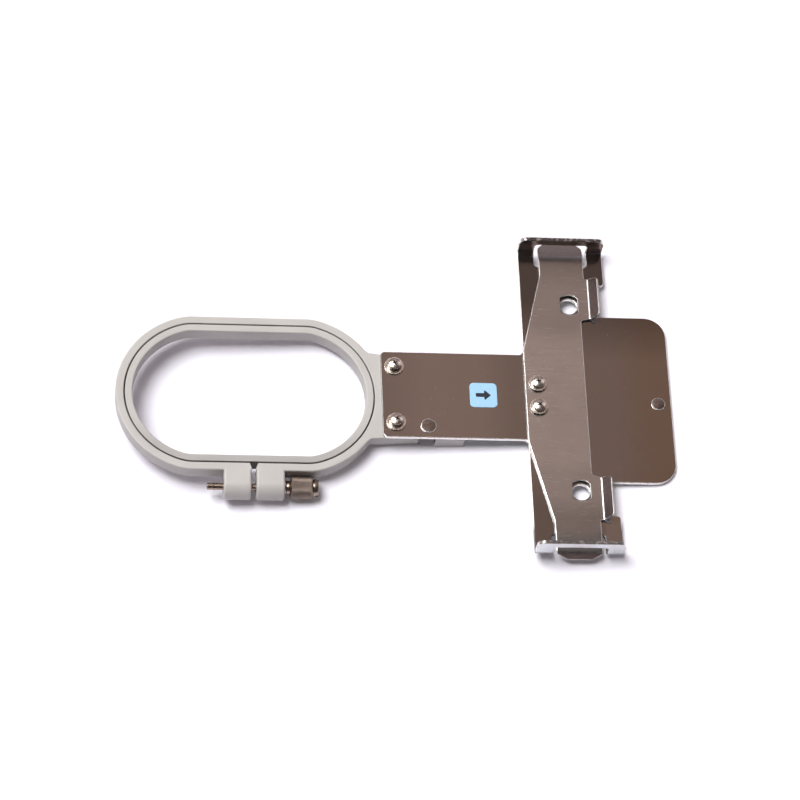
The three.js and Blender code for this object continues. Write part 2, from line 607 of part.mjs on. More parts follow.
const sides = [['far', 1], ['near', -1]];
const lockSeat = FLAT_WASHER_THICK;
const headSeat = lockSeat + LOCK_WASHER_THICK;
const leafSeat = LEAF_TOP + LEAF_PLAY;
for (const [word, side] of sides) {
  const y = side * SCREW_Y;
  const leafY = side * LEAF_SCREW_Y;
  place(`hoop_flat_washer_${word}`,
    washer(SCREW_X, y, FLAT_WASHER_R, SHANK_R + BORE_GAP, 0, lockSeat), BRIGHT, 0.25, 1);
  place(`hoop_lock_washer_${word}`,
    washer(SCREW_X, y, LOCK_WASHER_R, SHANK_R + BORE_GAP, lockSeat, headSeat), BRIGHT, 0.3, 1);
  place(`hoop_screw_${word}`,
    panScrew(SCREW_X, y, headSeat, RING_TOP - INSERT_LONG + TIP_GAP), BRIGHT, 0.2, 1);
  place(`hoop_insert_${word}`,
    washer(SCREW_X, y, INSERT_R, SHANK_R + BORE_GAP, RING_TOP - INSERT_LONG, RING_TOP), BRASS, 0.35, 1);
  place(`spring_washer_${word}`,
    washer(LEAF_SCREW_X, leafY, LEAF_WASHER_R, SHANK_R + BORE_GAP, leafSeat, leafSeat + LEAF_WASHER_THICK),
    BRIGHT, 0.25, 1);
  place(`spring_screw_${word}`,
    panScrew(LEAF_SCREW_X, leafY, leafSeat + LEAF_WASHER_THICK, -SHEET - CLINCH_LONG + TIP_GAP),
    BRIGHT, 0.2, 1);
  place(`clinch_nut_${word}`,
    washer(LEAF_SCREW_X, leafY, CLINCH_R, SHANK_R + BORE_GAP, -SHEET - CLINCH_LONG, -SHEET, 24),
    BRIGHT, 0.35, 1);
}

place('locating_pin', solid(latheUp([
  [0, -SHEET - PIN_LONG], [PIN_R - PIN_EDGE, -SHEET - PIN_LONG], [PIN_R, -SHEET - PIN_LONG + PIN_EDGE],
  [PIN_R, 0], [PIN_HEAD_R, 0], [PIN_HEAD_R, PIN_HEAD_HIGH - PIN_EDGE],
  [PIN_HEAD_R - PIN_EDGE, PIN_HEAD_HIGH], [0, PIN_HEAD_HIGH],
], PIN_X, PIN_Y, 32)), BRIGHT, 0.3, 1);
place('tongue_pin', solid(latheUp([
  [0, -SHEET - STUD_FOOT], [STUD_FOOT_R, -SHEET - STUD_FOOT], [STUD_FOOT_R, -SHEET], [STUD_R, -SHEET],
  [STUD_R, 0], [STUD_HEAD_R, 0], [STUD_HEAD_R, STUD_HEAD_HIGH - PIN_EDGE],
  [STUD_HEAD_R - PIN_EDGE, STUD_HEAD_HIGH], [0, STUD_HEAD_HIGH],
], STUD_X, STUD_Y, 32)), BRIGHT, 0.3, 1);
place('size_label', prismZ(rectangle(LABEL_X - LABEL_SIDE / 2, LABEL_Y - LABEL_SIDE / 2,
  LABEL_X + LABEL_SIDE / 2, LABEL_Y + LABEL_SIDE / 2, LABEL_CORNER), 0, LABEL_THICK), BLUE, 0.4, 0);

export default group;
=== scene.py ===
"""The looks of a machine embroidery hoop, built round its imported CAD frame.

Sizes are millimetres in the part's own frame, and meshes are scaled to metres as they are made.
Places in the finishes and on the stage are metres.
"""

import math

import bmesh
import bpy
from bpy.props import FloatProperty, FloatVectorProperty, IntProperty, PointerProperty
from mathutils import Matrix, Vector


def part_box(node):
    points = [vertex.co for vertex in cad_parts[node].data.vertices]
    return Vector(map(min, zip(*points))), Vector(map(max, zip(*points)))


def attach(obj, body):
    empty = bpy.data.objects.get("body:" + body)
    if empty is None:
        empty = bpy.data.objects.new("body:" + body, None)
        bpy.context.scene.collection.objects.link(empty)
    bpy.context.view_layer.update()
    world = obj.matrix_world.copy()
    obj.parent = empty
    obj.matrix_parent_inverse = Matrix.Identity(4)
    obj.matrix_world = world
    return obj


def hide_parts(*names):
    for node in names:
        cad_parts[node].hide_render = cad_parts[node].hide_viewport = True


bl_info = {
    "name": "Embroidery hoop",
    "version": (1, 0, 0),
    "blender": (4, 5, 0),
    "location": "3D View > Sidebar > Hoop",
    "description": "Builds a machine embroidery hoop on its sheet-metal carrier",
    "category": "Object",
}

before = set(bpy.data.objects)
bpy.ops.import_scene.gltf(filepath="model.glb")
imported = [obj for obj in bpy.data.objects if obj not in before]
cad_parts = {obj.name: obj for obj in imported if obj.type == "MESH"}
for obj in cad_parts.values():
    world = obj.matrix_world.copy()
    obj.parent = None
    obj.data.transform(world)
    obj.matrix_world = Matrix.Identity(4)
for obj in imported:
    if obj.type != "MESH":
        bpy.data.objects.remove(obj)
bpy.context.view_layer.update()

MM = 0.001


def box_mm(node):
    """Lowest and highest corner of a CAD node, in millimetres."""
    low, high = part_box(node)
    return low / MM, high / MM


def middle_mm(node):
    """Centre of a CAD node's box, in millimetres."""
    return sum(box_mm(node), Vector()) / 2


def round_mm(node):
    """Corners, centre and radius of a round CAD node that stands along Z, in millimetres."""
    low, high = box_mm(node)
    return low, high, (low + high) / 2, (high.x - low.x) / 2


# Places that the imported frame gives
SHEET_LOW, SHEET_HIGH = box_mm("carrier_plate")
LEAF_LOW, LEAF_HIGH = box_mm("spring_plate")
OUTER_LOW, OUTER_HIGH = box_mm("outer_hoop")
INNER_LOW, INNER_HIGH = box_mm("inner_hoop")
SCREW_LOW, SCREW_HIGH = box_mm("thumb_screw")
THRUST_LOW, THRUST_HIGH = box_mm("thrust_washer")

# Carrier sheet
HOLE_LINE = -22.0
SHEET = -SHEET_LOW.z
ARM_LEFT = SHEET_LOW.x
ARM_HALF = 20.0
ARM_CORNER = 2.0
BASE_LEFT = HOLE_LINE - 20.6
BASE_RIGHT = HOLE_LINE + 15.8
BASE_END = SHEET_HIGH.y
INNER_CORNER = 2.2
NOTCH_X = HOLE_LINE + 6.4
EAR_START = BASE_END - 17.6
EAR_CORNER = 1.6
TONGUE_RIGHT = SHEET_HIGH.x
TONGUE_HALF = 39.1
TONGUE_CORNER = 9.0
FLANGE_TOP = SHEET_HIGH.z
FLANGE_CORNER = 3.2
SHEET_ROLL = 1.4
BEND_INNER = 0.8
BEND_MIDDLE = BEND_INNER + SHEET / 2
BEND_Y = BASE_END - BEND_INNER - SHEET
BEND_RUN = BEND_MIDDLE * math.pi / 2
BLANK_END = BEND_Y + BEND_RUN + FLANGE_TOP - BEND_INNER
WINDOW_LEFT = HOLE_LINE - 13.5
WINDOW_RIGHT = HOLE_LINE + 8.8
WINDOW_INNER = BASE_END - 8.8
WINDOW_STRIP = 3.7
WINDOW_OUTER = BLANK_END - WINDOW_STRIP
WINDOW_CORNER = 1.6
HOLE_Y = 43.85
HOLE_R = 3.6

# Spring plate
LEAF = 1.0
LEAF_TOP = 1.3
LEAF_ROLL = 1.2
LEAF_LEFT = LEAF_LOW.x
LEAF_WAIST = 21.5
LEAF_WAIST_R = 12.0
LEAF_TAPER_R = 9.0
LEAF_TAPER_END = BASE_END - 14.0
TAB_LEFT = WINDOW_LEFT + 1.6
TAB_RIGHT = WINDOW_RIGHT - 1.6
TAB_MIDDLE = (TAB_LEFT + TAB_RIGHT) / 2
TAB_BEND_START = BASE_END - 9.0
FAR_TAB_BEND_R = 60.0
NEAR_TAB_BEND_R = 40.0
TAB_TIP = BASE_END + 2.5
FAR_TIP_HALF = 7.0
FAR_TAB_CORNER = 2.4
FAR_TIP_CORNER = 1.6
NEAR_TIP_HALF = 5.2
NEAR_TAB_CORNER = 1.5
NEAR_TIP_CORNER = 0.7
LEAF_NOTCH_X = TAB_RIGHT - 2.4
LEAF_NOTCH_HALF = 36.4
LEAF_NOTCH_CORNER = 1.6
LIP_ROOT_CORNER = 0.3
LIP_START = 37.2
LIP_END = 57.0
LIP_X = TAB_RIGHT + 0.9
LIP_BEND = 1.5
LIP_BEND_MIDDLE = LIP_BEND + LEAF / 2
LIP_BEND_RUN = LIP_BEND_MIDDLE * math.pi / 4
LIP_RUN = (LEAF_HIGH.x - LIP_X) * math.sqrt(2) - LIP_BEND - LEAF
LIP_BLANK = LIP_X + LIP_BEND_RUN + LIP_RUN
LIP_RELIEF = 0.8
LIP_CORNER = 1.7
D_HOLE_R = 4.8
D_HOLE_HALF = 3.65

# Hoops
HOOP_X = (INNER_LOW.x + INNER_HIGH.x) / 2
ARC_CENTRE = 18.8
FLAT_CUT = 0.7
RING_TOP = INNER_HIGH.z
RING_LOW = INNER_LOW.z
INNER_OUT_R = (INNER_HIGH.x - INNER_LOW.x) / 2 - ARC_CENTRE
OUTER_OUT_R = HOOP_X - ARC_CENTRE - OUTER_LOW.x
INNER_WALL = 3.2
OUTER_WALL = 3.5
SEAM_EASE = 0.1
SEAM_FOOT = OUTER_OUT_R - OUTER_WALL - INNER_OUT_R + 2 * SEAM_EASE - 0.03
FOOT_LOW = 1.6
FOOT_HIGH = 2.2
ARC_STEPS = 44
EASE_R = 16.0
EASE_STEPS = 8
FLAT_STEPS = 6
TAB_END = OUTER_HIGH.x
TAB_THICK = 6.0
TAB_EDGE = 1.2
TAB_RIM = 0.25
TAB_FILLET = 3.0
TAB_SLOT_WIDE = 7.0
TAB_SLOT_SHIFT = 0.5
TAB_SLOT_BEHIND = 5.0
TAB_SLOT_R = 2.0
TAB_SLOT_EDGE = 0.3

# Clamp
SPLIT_X = HOOP_X + 1.3
SPLIT = 2.0
SPLIT_MOUTH = 3.6
SPLIT_MOUTH_DEEP = 2.2
CLAMP = middle_mm("thrust_washer")
LUG_LEFT = SPLIT_X - SPLIT / 2 - 11.3
LUG_RIGHT = THRUST_LOW.x
LUG_R = RING_TOP - CLAMP.z
LUG_FOOT = 2.4
LUG_LIFT = 0.6
SHANK_R = 1.5
SHANK_GAP = 0.3
COLLAR_R = 2.8
COLLAR_LONG = 1.9
COLLAR_GAP = 0.03
KNURL_R = (SCREW_HIGH.z - SCREW_LOW.z) / 2
KNURL_LONG = 8.9
KNURL_CHAMFER = 0.45
CAP_R = 3.65
CAP_SLOT = 1.0
CAP_SLOT_DEEP = 1.2
NUT_END = box_mm("clamp_nut")[1].x
NUT_HALF = 2.75
POCKET_GAP = 0.15

# Screws, washers and pins
BORE_R = 1.7
HEAD_R = 2.75
HEAD_HIGH = 2.0
HEAD_SIDE = 0.9
HEAD_ROLL = 0.565
HEAD_TILT = math.radians(28)
RECESS_HALF = 1.3
RECESS_WIDE = 0.27
RECESS_DEEP = 1.0
RECESS_FLARE = 1.12
RECESS_ABOVE_SEAT = 0.3
RECESS_BELOW_TOP = 0.26
THREAD_PITCH = 0.5
THREAD_DEEP = 0.14
THREAD_CHAMFER = 0.6 * THREAD_PITCH
CLAMP_THREAD_DEEP = 0.02
THIN_EDGE = 0.12
WIRE_SHARE = 0.74
WIRE_GAP = math.radians(9)
WIRE_STEPS = 60
PIN_TOP = 0.34
PIN_RIM = 0.36
LABEL_CORNER = 1.8
ARROW_LONG = 6.4
ARROW_WIDE = 5.0
ARROW_CORNER = 0.25
INK = 0.02

# Cutters overlap what they cut and have all but sharp edges
CUTTER_EDGE = 0.01
PAST = 1.0

# Where the painted shade on the walls of the split and the slot begins and ends
CREVICE_TOP = 0.3
CREVICE_END = 0.5
CREVICE_SLACK = 0.1

# Fineness of the meshes
TURN_STEPS = 48
THREAD_STEPS = 24
RIM_STEPS = 5
MITRE_LEAST = 0.4


def length_setting(name, description, default, low, high):
    """A length, given here in millimetres and kept in metres."""
    return FloatProperty(
        name=name, description=description, default=default * MM, min=low * MM, max=high * MM,
        unit="LENGTH", precision=5)


def colour_setting(name, description, default):
    """A base colour in linear light."""
    return FloatVectorProperty(
        name=name, description=description, subtype="COLOR", size=3, min=0, max=1, default=default)


class HoopSizes(bpy.types.PropertyGroup):
    """Finishing sizes, in metres, that don't change the fit of the parts."""

    sheet_edge: length_setting("Sheet edge", "Radius on the carrier's cut edges", 0.2, 0.05, 0.4)
    leaf_edge: length_setting("Spring edge", "Radius on the spring plate's stamped edges", 0.26, 0.05, 0.45)
    ring_edge: length_setting("Ring edge", "Radius on the moulded rims of both hoops", 0.7, 0.1, 1.2)
    seam_edge: length_setting("Seam edge", "Radius on the rims where the two hoops meet", 0.2, 0.05, 0.6)
    lug_edge: length_setting("Lug edge", "Radius on the ends of the clamp's lugs", 1.0, 0.1, 1.5)
    knurl_count: IntProperty(
        name="Knurl teeth", description="Teeth round the thumb screw's head", default=46, min=12, max=60)
    knurl_deep: length_setting("Knurl depth", "Depth of the diamond knurl", 0.15, 0.05, 0.5)
    label_edge: length_setting("Label edge", "Radius on the sticker's rim", 0.08, 0.01, 0.1)


class HoopColours(bpy.types.PropertyGroup):
    """Base colours of the finishes, in linear light."""

    carrier: colour_setting("Carrier steel", "Polished sheet of the carrier", (0.57, 0.6, 0.63))
    leaf: colour_setting("Spring steel", "Brushed sheet of the spring plate", (0.715, 0.68, 0.668))
    cut: colour_setting("Cut edges", "Sheared edges of both sheets", (0.9, 0.87, 0.845))
    plastic: colour_setting("Hoop plastic", "Moulded plastic of both hoops", (0.526, 0.508, 0.487))
    plated: colour_setting("Bright plating", "Screws, washers and nuts", (0.94, 0.85, 0.76))
    # Painted shade: the screws' cross recesses are coloured dark.
    recess: colour_setting("Recess", "Darkened cross recesses of the screws", (0.05, 0.04, 0.03))
    turned: colour_setting("Turned metal", "Thumb screw's ends and lock washers", (0.355, 0.285, 0.228))
    knurled: colour_setting("Knurled metal", "Head of the thumb screw", (0.235, 0.188, 0.158))
    brass: colour_setting("Brass", "Threaded inserts", (0.72, 0.52, 0.22))
    label: colour_setting("Sticker", "Film of the sticker", (0.385, 0.66, 0.89))
    ink: colour_setting("Ink", "Arrow printed on the sticker", (0.012, 0.016, 0.03))


class StageSettings(bpy.types.PropertyGroup):
    """Light, floor and camera."""

    sun_strength: FloatProperty(
        name="Sun strength", description="Strength of the soft key light", default=3.3, min=0, max=10)
    sun_angle: FloatProperty(
        name="Sun angle", description="Apparent size of the key light", default=math.radians(34),
        min=0, max=math.pi, subtype="ANGLE")
    lens: FloatProperty(
        name="Lens", description="Focal length on a 36 mm sensor, in millimetres",
        default=140.881, min=10, max=500)
    floor_tilt: FloatProperty(
        name="Floor tilt",
        description="Slope of the floor on which the hoop's tab and the tongue's stud rest",
        default=math.radians(3.81), min=0, max=0.3, subtype="ANGLE")


# Outlines


def rounded(corners, steps=8):
    """Points of a polygon whose corners are (x, y, radius)."""
    points = []
    count = len(corners)
    for i, (x, y, radius) in enumerate(corners):
        here = Vector((x, y))
        if radius == 0:
            points.append(here)
            continue
        back = (Vector(corners[i - 1][:2]) - here).normalized()
        ahead = (Vector(corners[(i + 1) % count][:2]) - here).normalized()
        half = back.angle(ahead) / 2
        centre = here + (back + ahead).normalized() * radius / math.sin(half)
        start = here + back * radius / math.tan(half) - centre
        end = here + ahead * radius / math.tan(half) - centre
        sweep = start.angle_signed(end)
        first = math.atan2(start.y, start.x)
        for k in range(steps + 1):
            angle = first - sweep * k / steps
            points.append(centre + radius * Vector((math.cos(angle), math.sin(angle))))
    return points


def polar(x, y, radius, angle):
    """The point at a radius and an angle from a centre."""
    return Vector((x + radius * math.cos(angle), y + radius * math.sin(angle)))


def circle(x, y, radius, count):
    """Points of a circle, counter-clockwise."""
    turn = math.tau / count
    return [polar(x, y, radius, turn * k) for k in range(count)]


def corner_arc(x, y, radius, quarter, steps):
    """A quarter of a circle that ends at as many right angles as quarter says."""
    angles = [math.pi / 2 * (quarter - 1 + k / steps) for k in range(steps + 1)]
    return [(x + radius * math.cos(angle), y + radius * math.sin(angle)) for angle in angles]


def area(points):
    """Signed area of a closed outline."""
    return sum(a.x * b.y - b.x * a.y for a, b in zip(points, points[1:] + points[:1])) / 2


def turned_to(points, sign):
    """The outline, run counter-clockwise for sign 1 and clockwise for sign -1."""
    return points if area(points) * sign > 0 else points[::-1]


def inset(points, distance):
    """The outline moved to its left side by a distance."""
    shifted = []
    for i, here in enumerate(points):
        d1 = (here - points[i - 1]).normalized()
        d2 = (points[(i + 1) % len(points)] - here).normalized()
        n1 = Vector((-d1.y, d1.x))
        mitre = (n1 + Vector((-d2.y, d2.x))).normalized()
        shifted.append(here + mitre * distance / max(MITRE_LEAST, mitre.dot(n1)))
    return shifted


def hoop_line(radius):
    """The hoops' outline at an arc radius: two arcs and two flats, with eased corners between them."""
    flat = radius - FLAT_CUT
    ease = EASE_R + radius - INNER_OUT_R
    inner = radius - ease
    lean = math.asin((flat - ease) / inner)
    quarter = []
    for k in range(ARC_STEPS + 1):
        angle = lean * k / ARC_STEPS
        quarter.append((ARC_CENTRE + radius * math.cos(angle), radius * math.sin(angle)))
    for k in range(1, EASE_STEPS + 1):
        angle = lean + (math.pi / 2 - lean) * k / EASE_STEPS
        across = ARC_CENTRE + inner * math.cos(lean) + ease * math.cos(angle)
        quarter.append((across, flat - ease + ease * math.sin(angle)))
    run = quarter[-1][0]
    for k in range(1, FLAT_STEPS + 1):
        quarter.append((run * (1 - k / FLAT_STEPS), flat))
    far_half = quarter + [(-x, y) for x, y in quarter[-2:0:-1]]
    whole = far_half + [(-x, -y) for x, y in far_half]
    return [Vector((HOOP_X + x, y)) for x, y in whole]


# Mesh makers


def finished(bm):
    """Turns a bmesh in millimetres into a mesh in metres with outward normals."""
    bmesh.ops.remove_doubles(bm, verts=bm.verts, dist=1e-5)
    bmesh.ops.recalc_face_normals(bm, faces=bm.faces)
    mesh = bpy.data.meshes.new("made")
    bm.to_mesh(mesh)
    bm.free()
    mesh.transform(Matrix.Scale(MM, 4))
    return mesh


def skin(bm, rows, mark=0):
    """Faces between rows of vertices, each row a closed loop or one vertex repeated."""
    for lower, upper in zip(rows, rows[1:]):
        for k, here in enumerate(lower):
            j = (k + 1) % len(lower)
            corners = list(dict.fromkeys((here, lower[j], upper[j], upper[k])))
            if len(corners) > 2:
                bm.faces.new(corners).material_index = mark


def plate(outline, holes, low, high, edge, steps=3, roll=1.0):
    """A bmesh plate with rounded rims, from low to high along Z, in millimetres.

    The upper rim is drawn in by roll times its depth. Faces of its walls have material 1, the others 0.
    """
    angles = [math.pi / 2 * k / steps for k in range(steps + 1)]
    layers = [(edge * (1 - math.sin(a)), low + edge * (1 - math.cos(a))) for a in angles]
    layers += [(roll * edge * (1 - math.cos(a)), high - edge * (1 - math.sin(a))) for a in angles]
    bm = bmesh.new()
    loops = [turned_to(outline, 1)] + [turned_to(hole, -1) for hole in holes]
    rims = [[], []]
    for loop in loops:
        rows = [[bm.verts.new((p.x, p.y, z)) for p in inset(loop, back)] for back, z in layers]
        skin(bm, rows, 1)
        for rim, row in zip(rims, (rows[0], rows[-1])):
            rim += [bm.edges.get(pair) for pair in zip(row, row[1:] + row[:1])]
    for rim in rims:
        bmesh.ops.triangle_fill(bm, edges=rim, use_beauty=True)
    return bm


def cut_rows(bm, axis, places):
    """Cuts the mesh along planes across an axis, so that it can be bent there."""
    normal = Vector((axis == 0, axis == 1, axis == 2))
    for place in places:
        everything = list(bm.verts) + list(bm.edges) + list(bm.faces)
        bmesh.ops.bisect_plane(bm, geom=everything, dist=1e-6, plane_co=normal * place, plane_no=normal)


def along_x(bm):
    """Stands a plate made in (y, z) on the X axis."""
    for vert in bm.verts:
        y, z, x = vert.co
        vert.co = (x, y, z)
    return bm


def ring_row(bm, steps, height, radius_at):
    """A row of vertices about Z, whose radius depends on height and angle."""
    row = []
    for k in range(steps):
        angle = math.tau / steps * k
        radius = radius_at(height, angle)
        row.append(bm.verts.new((radius * math.cos(angle), radius * math.sin(angle), height)))
    return row


def lathe(profile, closed=False):
    """A bmesh turned about Z from (radius, height) points. A closed profile makes a ring."""
    bm = bmesh.new()
    rows = []
    for radius, height in profile:
        if radius < 1e-6:
            rows.append([bm.verts.new((0, 0, height))] * TURN_STEPS)
        else:
            rows.append(ring_row(bm, TURN_STEPS, height, lambda *place: radius))
    skin(bm, rows + rows[:1] if closed else rows)
    return bm


def rod(heights, steps, radius_at):
    """A bmesh rod about Z, closed at both ends, whose radius depends on height and angle."""
    bm = bmesh.new()
    rows = [ring_row(bm, steps, height, radius_at) for height in heights]
    tips = [[bm.verts.new((0, 0, height))] * steps for height in (heights[0], heights[-1])]
    skin(bm, rows)
    for row, tip in zip((rows[0], rows[-1]), tips):
        skin(bm, [row, tip])
    return bm


def span(start, end, step):
    """Even places from start to end, about a step apart."""
    count = max(1, round((end - start) / step))
    return [start + (end - start) * k / count for k in range(count + 1)]


def thread(start, end, radius, deep=THREAD_DEEP):
    """A threaded rod about Z with chamfered ends."""

    def radius_at(height, angle):
        phase = (height / THREAD_PITCH - angle / math.tau) % 1
        ends = min(height - start, end - height)
        crest = radius - 2 * deep * abs(phase - 0.5)
        return min(crest, radius - THREAD_CHAMFER + ends)

    return rod(span(start, end, THREAD_PITCH / 6), THREAD_STEPS, radius_at)


def moved(bm, x, y, z):
    """Moves a bmesh, in millimetres."""
    bmesh.ops.translate(bm, verts=bm.verts, vec=(x, y, z))
    return bm


def joined(*parts):
    """One bmesh of several closed ones."""
    bm = bmesh.new()
    for part in parts:
        mesh = bpy.data.meshes.new("part")
        part.to_mesh(mesh)
        part.free()
        bm.from_mesh(mesh)
        bpy.data.meshes.remove(mesh)
    return bm


def combine(base, other, operation):
    """Boolean of two meshes, which are used up."""
    objects = []
    for mesh in (base, other):
        obj = bpy.data.objects.new("boolean", mesh)
        bpy.context.scene.collection.objects.link(obj)
        objects.append(obj)
    modifier = objects[0].modifiers.new("boolean", "BOOLEAN")
    modifier.object = objects[1]
    modifier.operation = operation
    modifier.solver = "EXACT"
    bpy.context.view_layer.update()
    evaluated = objects[0].evaluated_get(bpy.context.evaluated_depsgraph_get())
    mesh = bpy.data.meshes.new_from_object(evaluated)
    for obj in objects:
        old = obj.data
        bpy.data.objects.remove(obj)
        bpy.data.meshes.remove(old)
    if len(mesh.polygons) == 0:
        raise RuntimeError("a boolean left nothing")
    return mesh


def piece(name, mesh, body, nodes, finish, sharp=40, second=None):
    """A finished object that rides on a body and stands for CAD nodes.

    Faces marked 1 get the second finish.
    """
    mesh.name = name
    obj = bpy.data.objects.new(name, mesh)
    bpy.context.scene.collection.objects.link(obj)
    marks = [0] * len(mesh.polygons)
    if second:
        mesh.polygons.foreach_get("material_index", marks)
    mesh.materials.clear()
    mesh.materials.append(finish_of(finish))
    if second:
        mesh.materials.append(finish_of(second))
    mesh.polygons.foreach_set("material_index", marks)
    mesh.shade_smooth()
    mesh.set_sharp_from_angle(angle=math.radians(sharp))
    weighted = obj.modifiers.new("even_normals", "WEIGHTED_NORMAL")
    weighted.keep_sharp = True
    weighted.weight = 80
    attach(obj, body)
    if nodes:
        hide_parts(*nodes)


# Materials


def add_node(tree, kind, inputs, output=0, **options):
    """A new node with its options and inputs set, each input a socket or a value. Gives one output."""
    node = tree.nodes.new(kind)
    for name, option in options.items():
        setattr(node, name, option)
    for place, value in inputs.items():
        if isinstance(value, bpy.types.NodeSocket):
            tree.links.new(value, node.inputs[place])
        else:
            node.inputs[place].default_value = value
    return node.outputs[output]


# Places of the colour sockets in a mix node, and the range in which most of a noise lies
MIX_FIRST = 6
MIX_SECOND = 7
MIX_RESULT = 2
NOISE_RANGE = (0.3, 0.7)


def mixed(tree, factor, first, second, blend="MIX"):
    """A colour between two, or one blended with the other, each a socket or a colour."""
    inputs = {0: factor}
    for place, colour in ((MIX_FIRST, first), (MIX_SECOND, second)):
        inputs[place] = colour if isinstance(colour, bpy.types.NodeSocket) else (*colour, 1)
    return add_node(tree, "ShaderNodeMix", inputs, MIX_RESULT, data_type="RGBA", blend_type=blend)


class Finish:
    """A material's node tree, with short calls for the nodes that the finishes share."""

    def __init__(self, name, colour, metallic, roughness):
        self.material = bpy.data.materials.new(name)
        self.material.use_nodes = True
        self.tree = self.material.node_tree
        self.surface = self.tree.nodes["Principled BSDF"].inputs
        self.surface["Base Color"].default_value = (*colour, 1)
        self.surface["Metallic"].default_value = metallic
        self.surface["Roughness"].default_value = roughness
        source = self.tree.nodes.new("ShaderNodeTexCoord")
        self.place = source.outputs["Object"]
        self.normal = source.outputs["Normal"]

    def noise(self, scale, stretch=(1, 1, 1), turn=0.0, detail=4.0, rough=0.55):
        """Noise in object space, with features about 1/scale metres across."""
        shares = [1 / share for share in stretch]
        inputs = {"Vector": self.place, "Scale": shares, "Rotation": (0, 0, turn)}
        place = add_node(self.tree, "ShaderNodeMapping", inputs, vector_type="TEXTURE")
        inputs = {"Vector": place, "Scale": scale, "Detail": detail, "Roughness": rough}
        return add_node(self.tree, "ShaderNodeTexNoise", inputs)

    def along(self, axis):
        """Place along one axis of the object, in metres."""
        return add_node(self.tree, "ShaderNodeSeparateXYZ", {0: self.place}, axis)

    def facing(self, axis):
        """How far the surface faces along one axis of the object."""
        return add_node(self.tree, "ShaderNodeSeparateXYZ", {0: self.normal}, axis)

    def spread(self, value, low, high, out_low=0.0, out_high=1.0):
        """Maps a value from one range to another, clamped."""
        inputs = {0: value, 1: low, 2: high, 3: out_low, 4: out_high}
        return add_node(self.tree, "ShaderNodeMapRange", inputs)

    def maths(self, operation, a, b):
        """One sum of two values, each a socket or a number."""
        return add_node(self.tree, "ShaderNodeMath", {0: a, 1: b}, operation=operation)

    def fades(self, *rows):
        """Several spreads multiplied, each given as a value with its ranges."""
        return self.product(*(self.spread(*row) for row in rows))

    def less(self, value):
        """One minus a value."""
        return self.maths("SUBTRACT", 1.0, value)

    def product(self, *values):
        """Several values multiplied."""
        total = values[0]
        for value in values[1:]:
            total = self.maths("MULTIPLY", total, value)
        return total

    def tint(self, value, first, second, dim=None):
        """Base colour that runs from first to second with a value, dimmed by another."""
        colour = mixed(self.tree, value, first, second)
        if dim:
            inputs = {0: colour, "Scale": dim}
            colour = add_node(self.tree, "ShaderNodeVectorMath", inputs, operation="SCALE")
        self.tree.links.new(colour, self.surface["Base Color"])

    def warm(self, factor, colour):
        """Multiplies the base colour by another, as far as a factor says."""
        base = self.surface["Base Color"]
        both = mixed(self.tree, factor, base.links[0].from_socket, colour, "MULTIPLY")
        self.tree.links.new(both, base)

    def vary(self, noise, colour, shades, rough, relief=None, dim=None):
        """Shades of a colour, a range of roughness and a relief that all follow one noise."""
        self.tint(self.spread(noise, *NOISE_RANGE), *(shade(colour, factor) for factor in shades), dim)
        self.roughness(self.spread(noise, *NOISE_RANGE, *rough))
        if relief:
            self.bump(noise, *relief)

    def roughness(self, value):
        """Roughness from a value."""
        self.tree.links.new(value, self.surface["Roughness"])

    def bump(self, height, strength, distance):
        """Fine relief from a height."""
        inputs = {"Strength": strength, "Distance": distance, "Height": height}
        self.tree.links.new(add_node(self.tree, "ShaderNodeBump", inputs), self.surface["Normal"])


def shade(colour, factor):
    """A colour made darker or lighter."""
    return tuple(min(1.0, c * factor) for c in colour)


def toned(colour, *factors):
    """A colour with each channel multiplied by a factor of its own."""
    return tuple(c * factor for c, factor in zip(colour, factors))


def scratches(finish, turns, scale, thin):
    """Short, sparse and very thin lines in several directions, as one value from 0 to 1."""
    total = None
    for turn in turns:
        line = finish.noise(scale, (1.0, 0.05, 0.05), turn, detail=0.0, rough=0.5)
        line = finish.spread(line, thin, thin + 0.05)
        total = line if total is None else finish.maths("MAXIMUM", total, line)
    return total


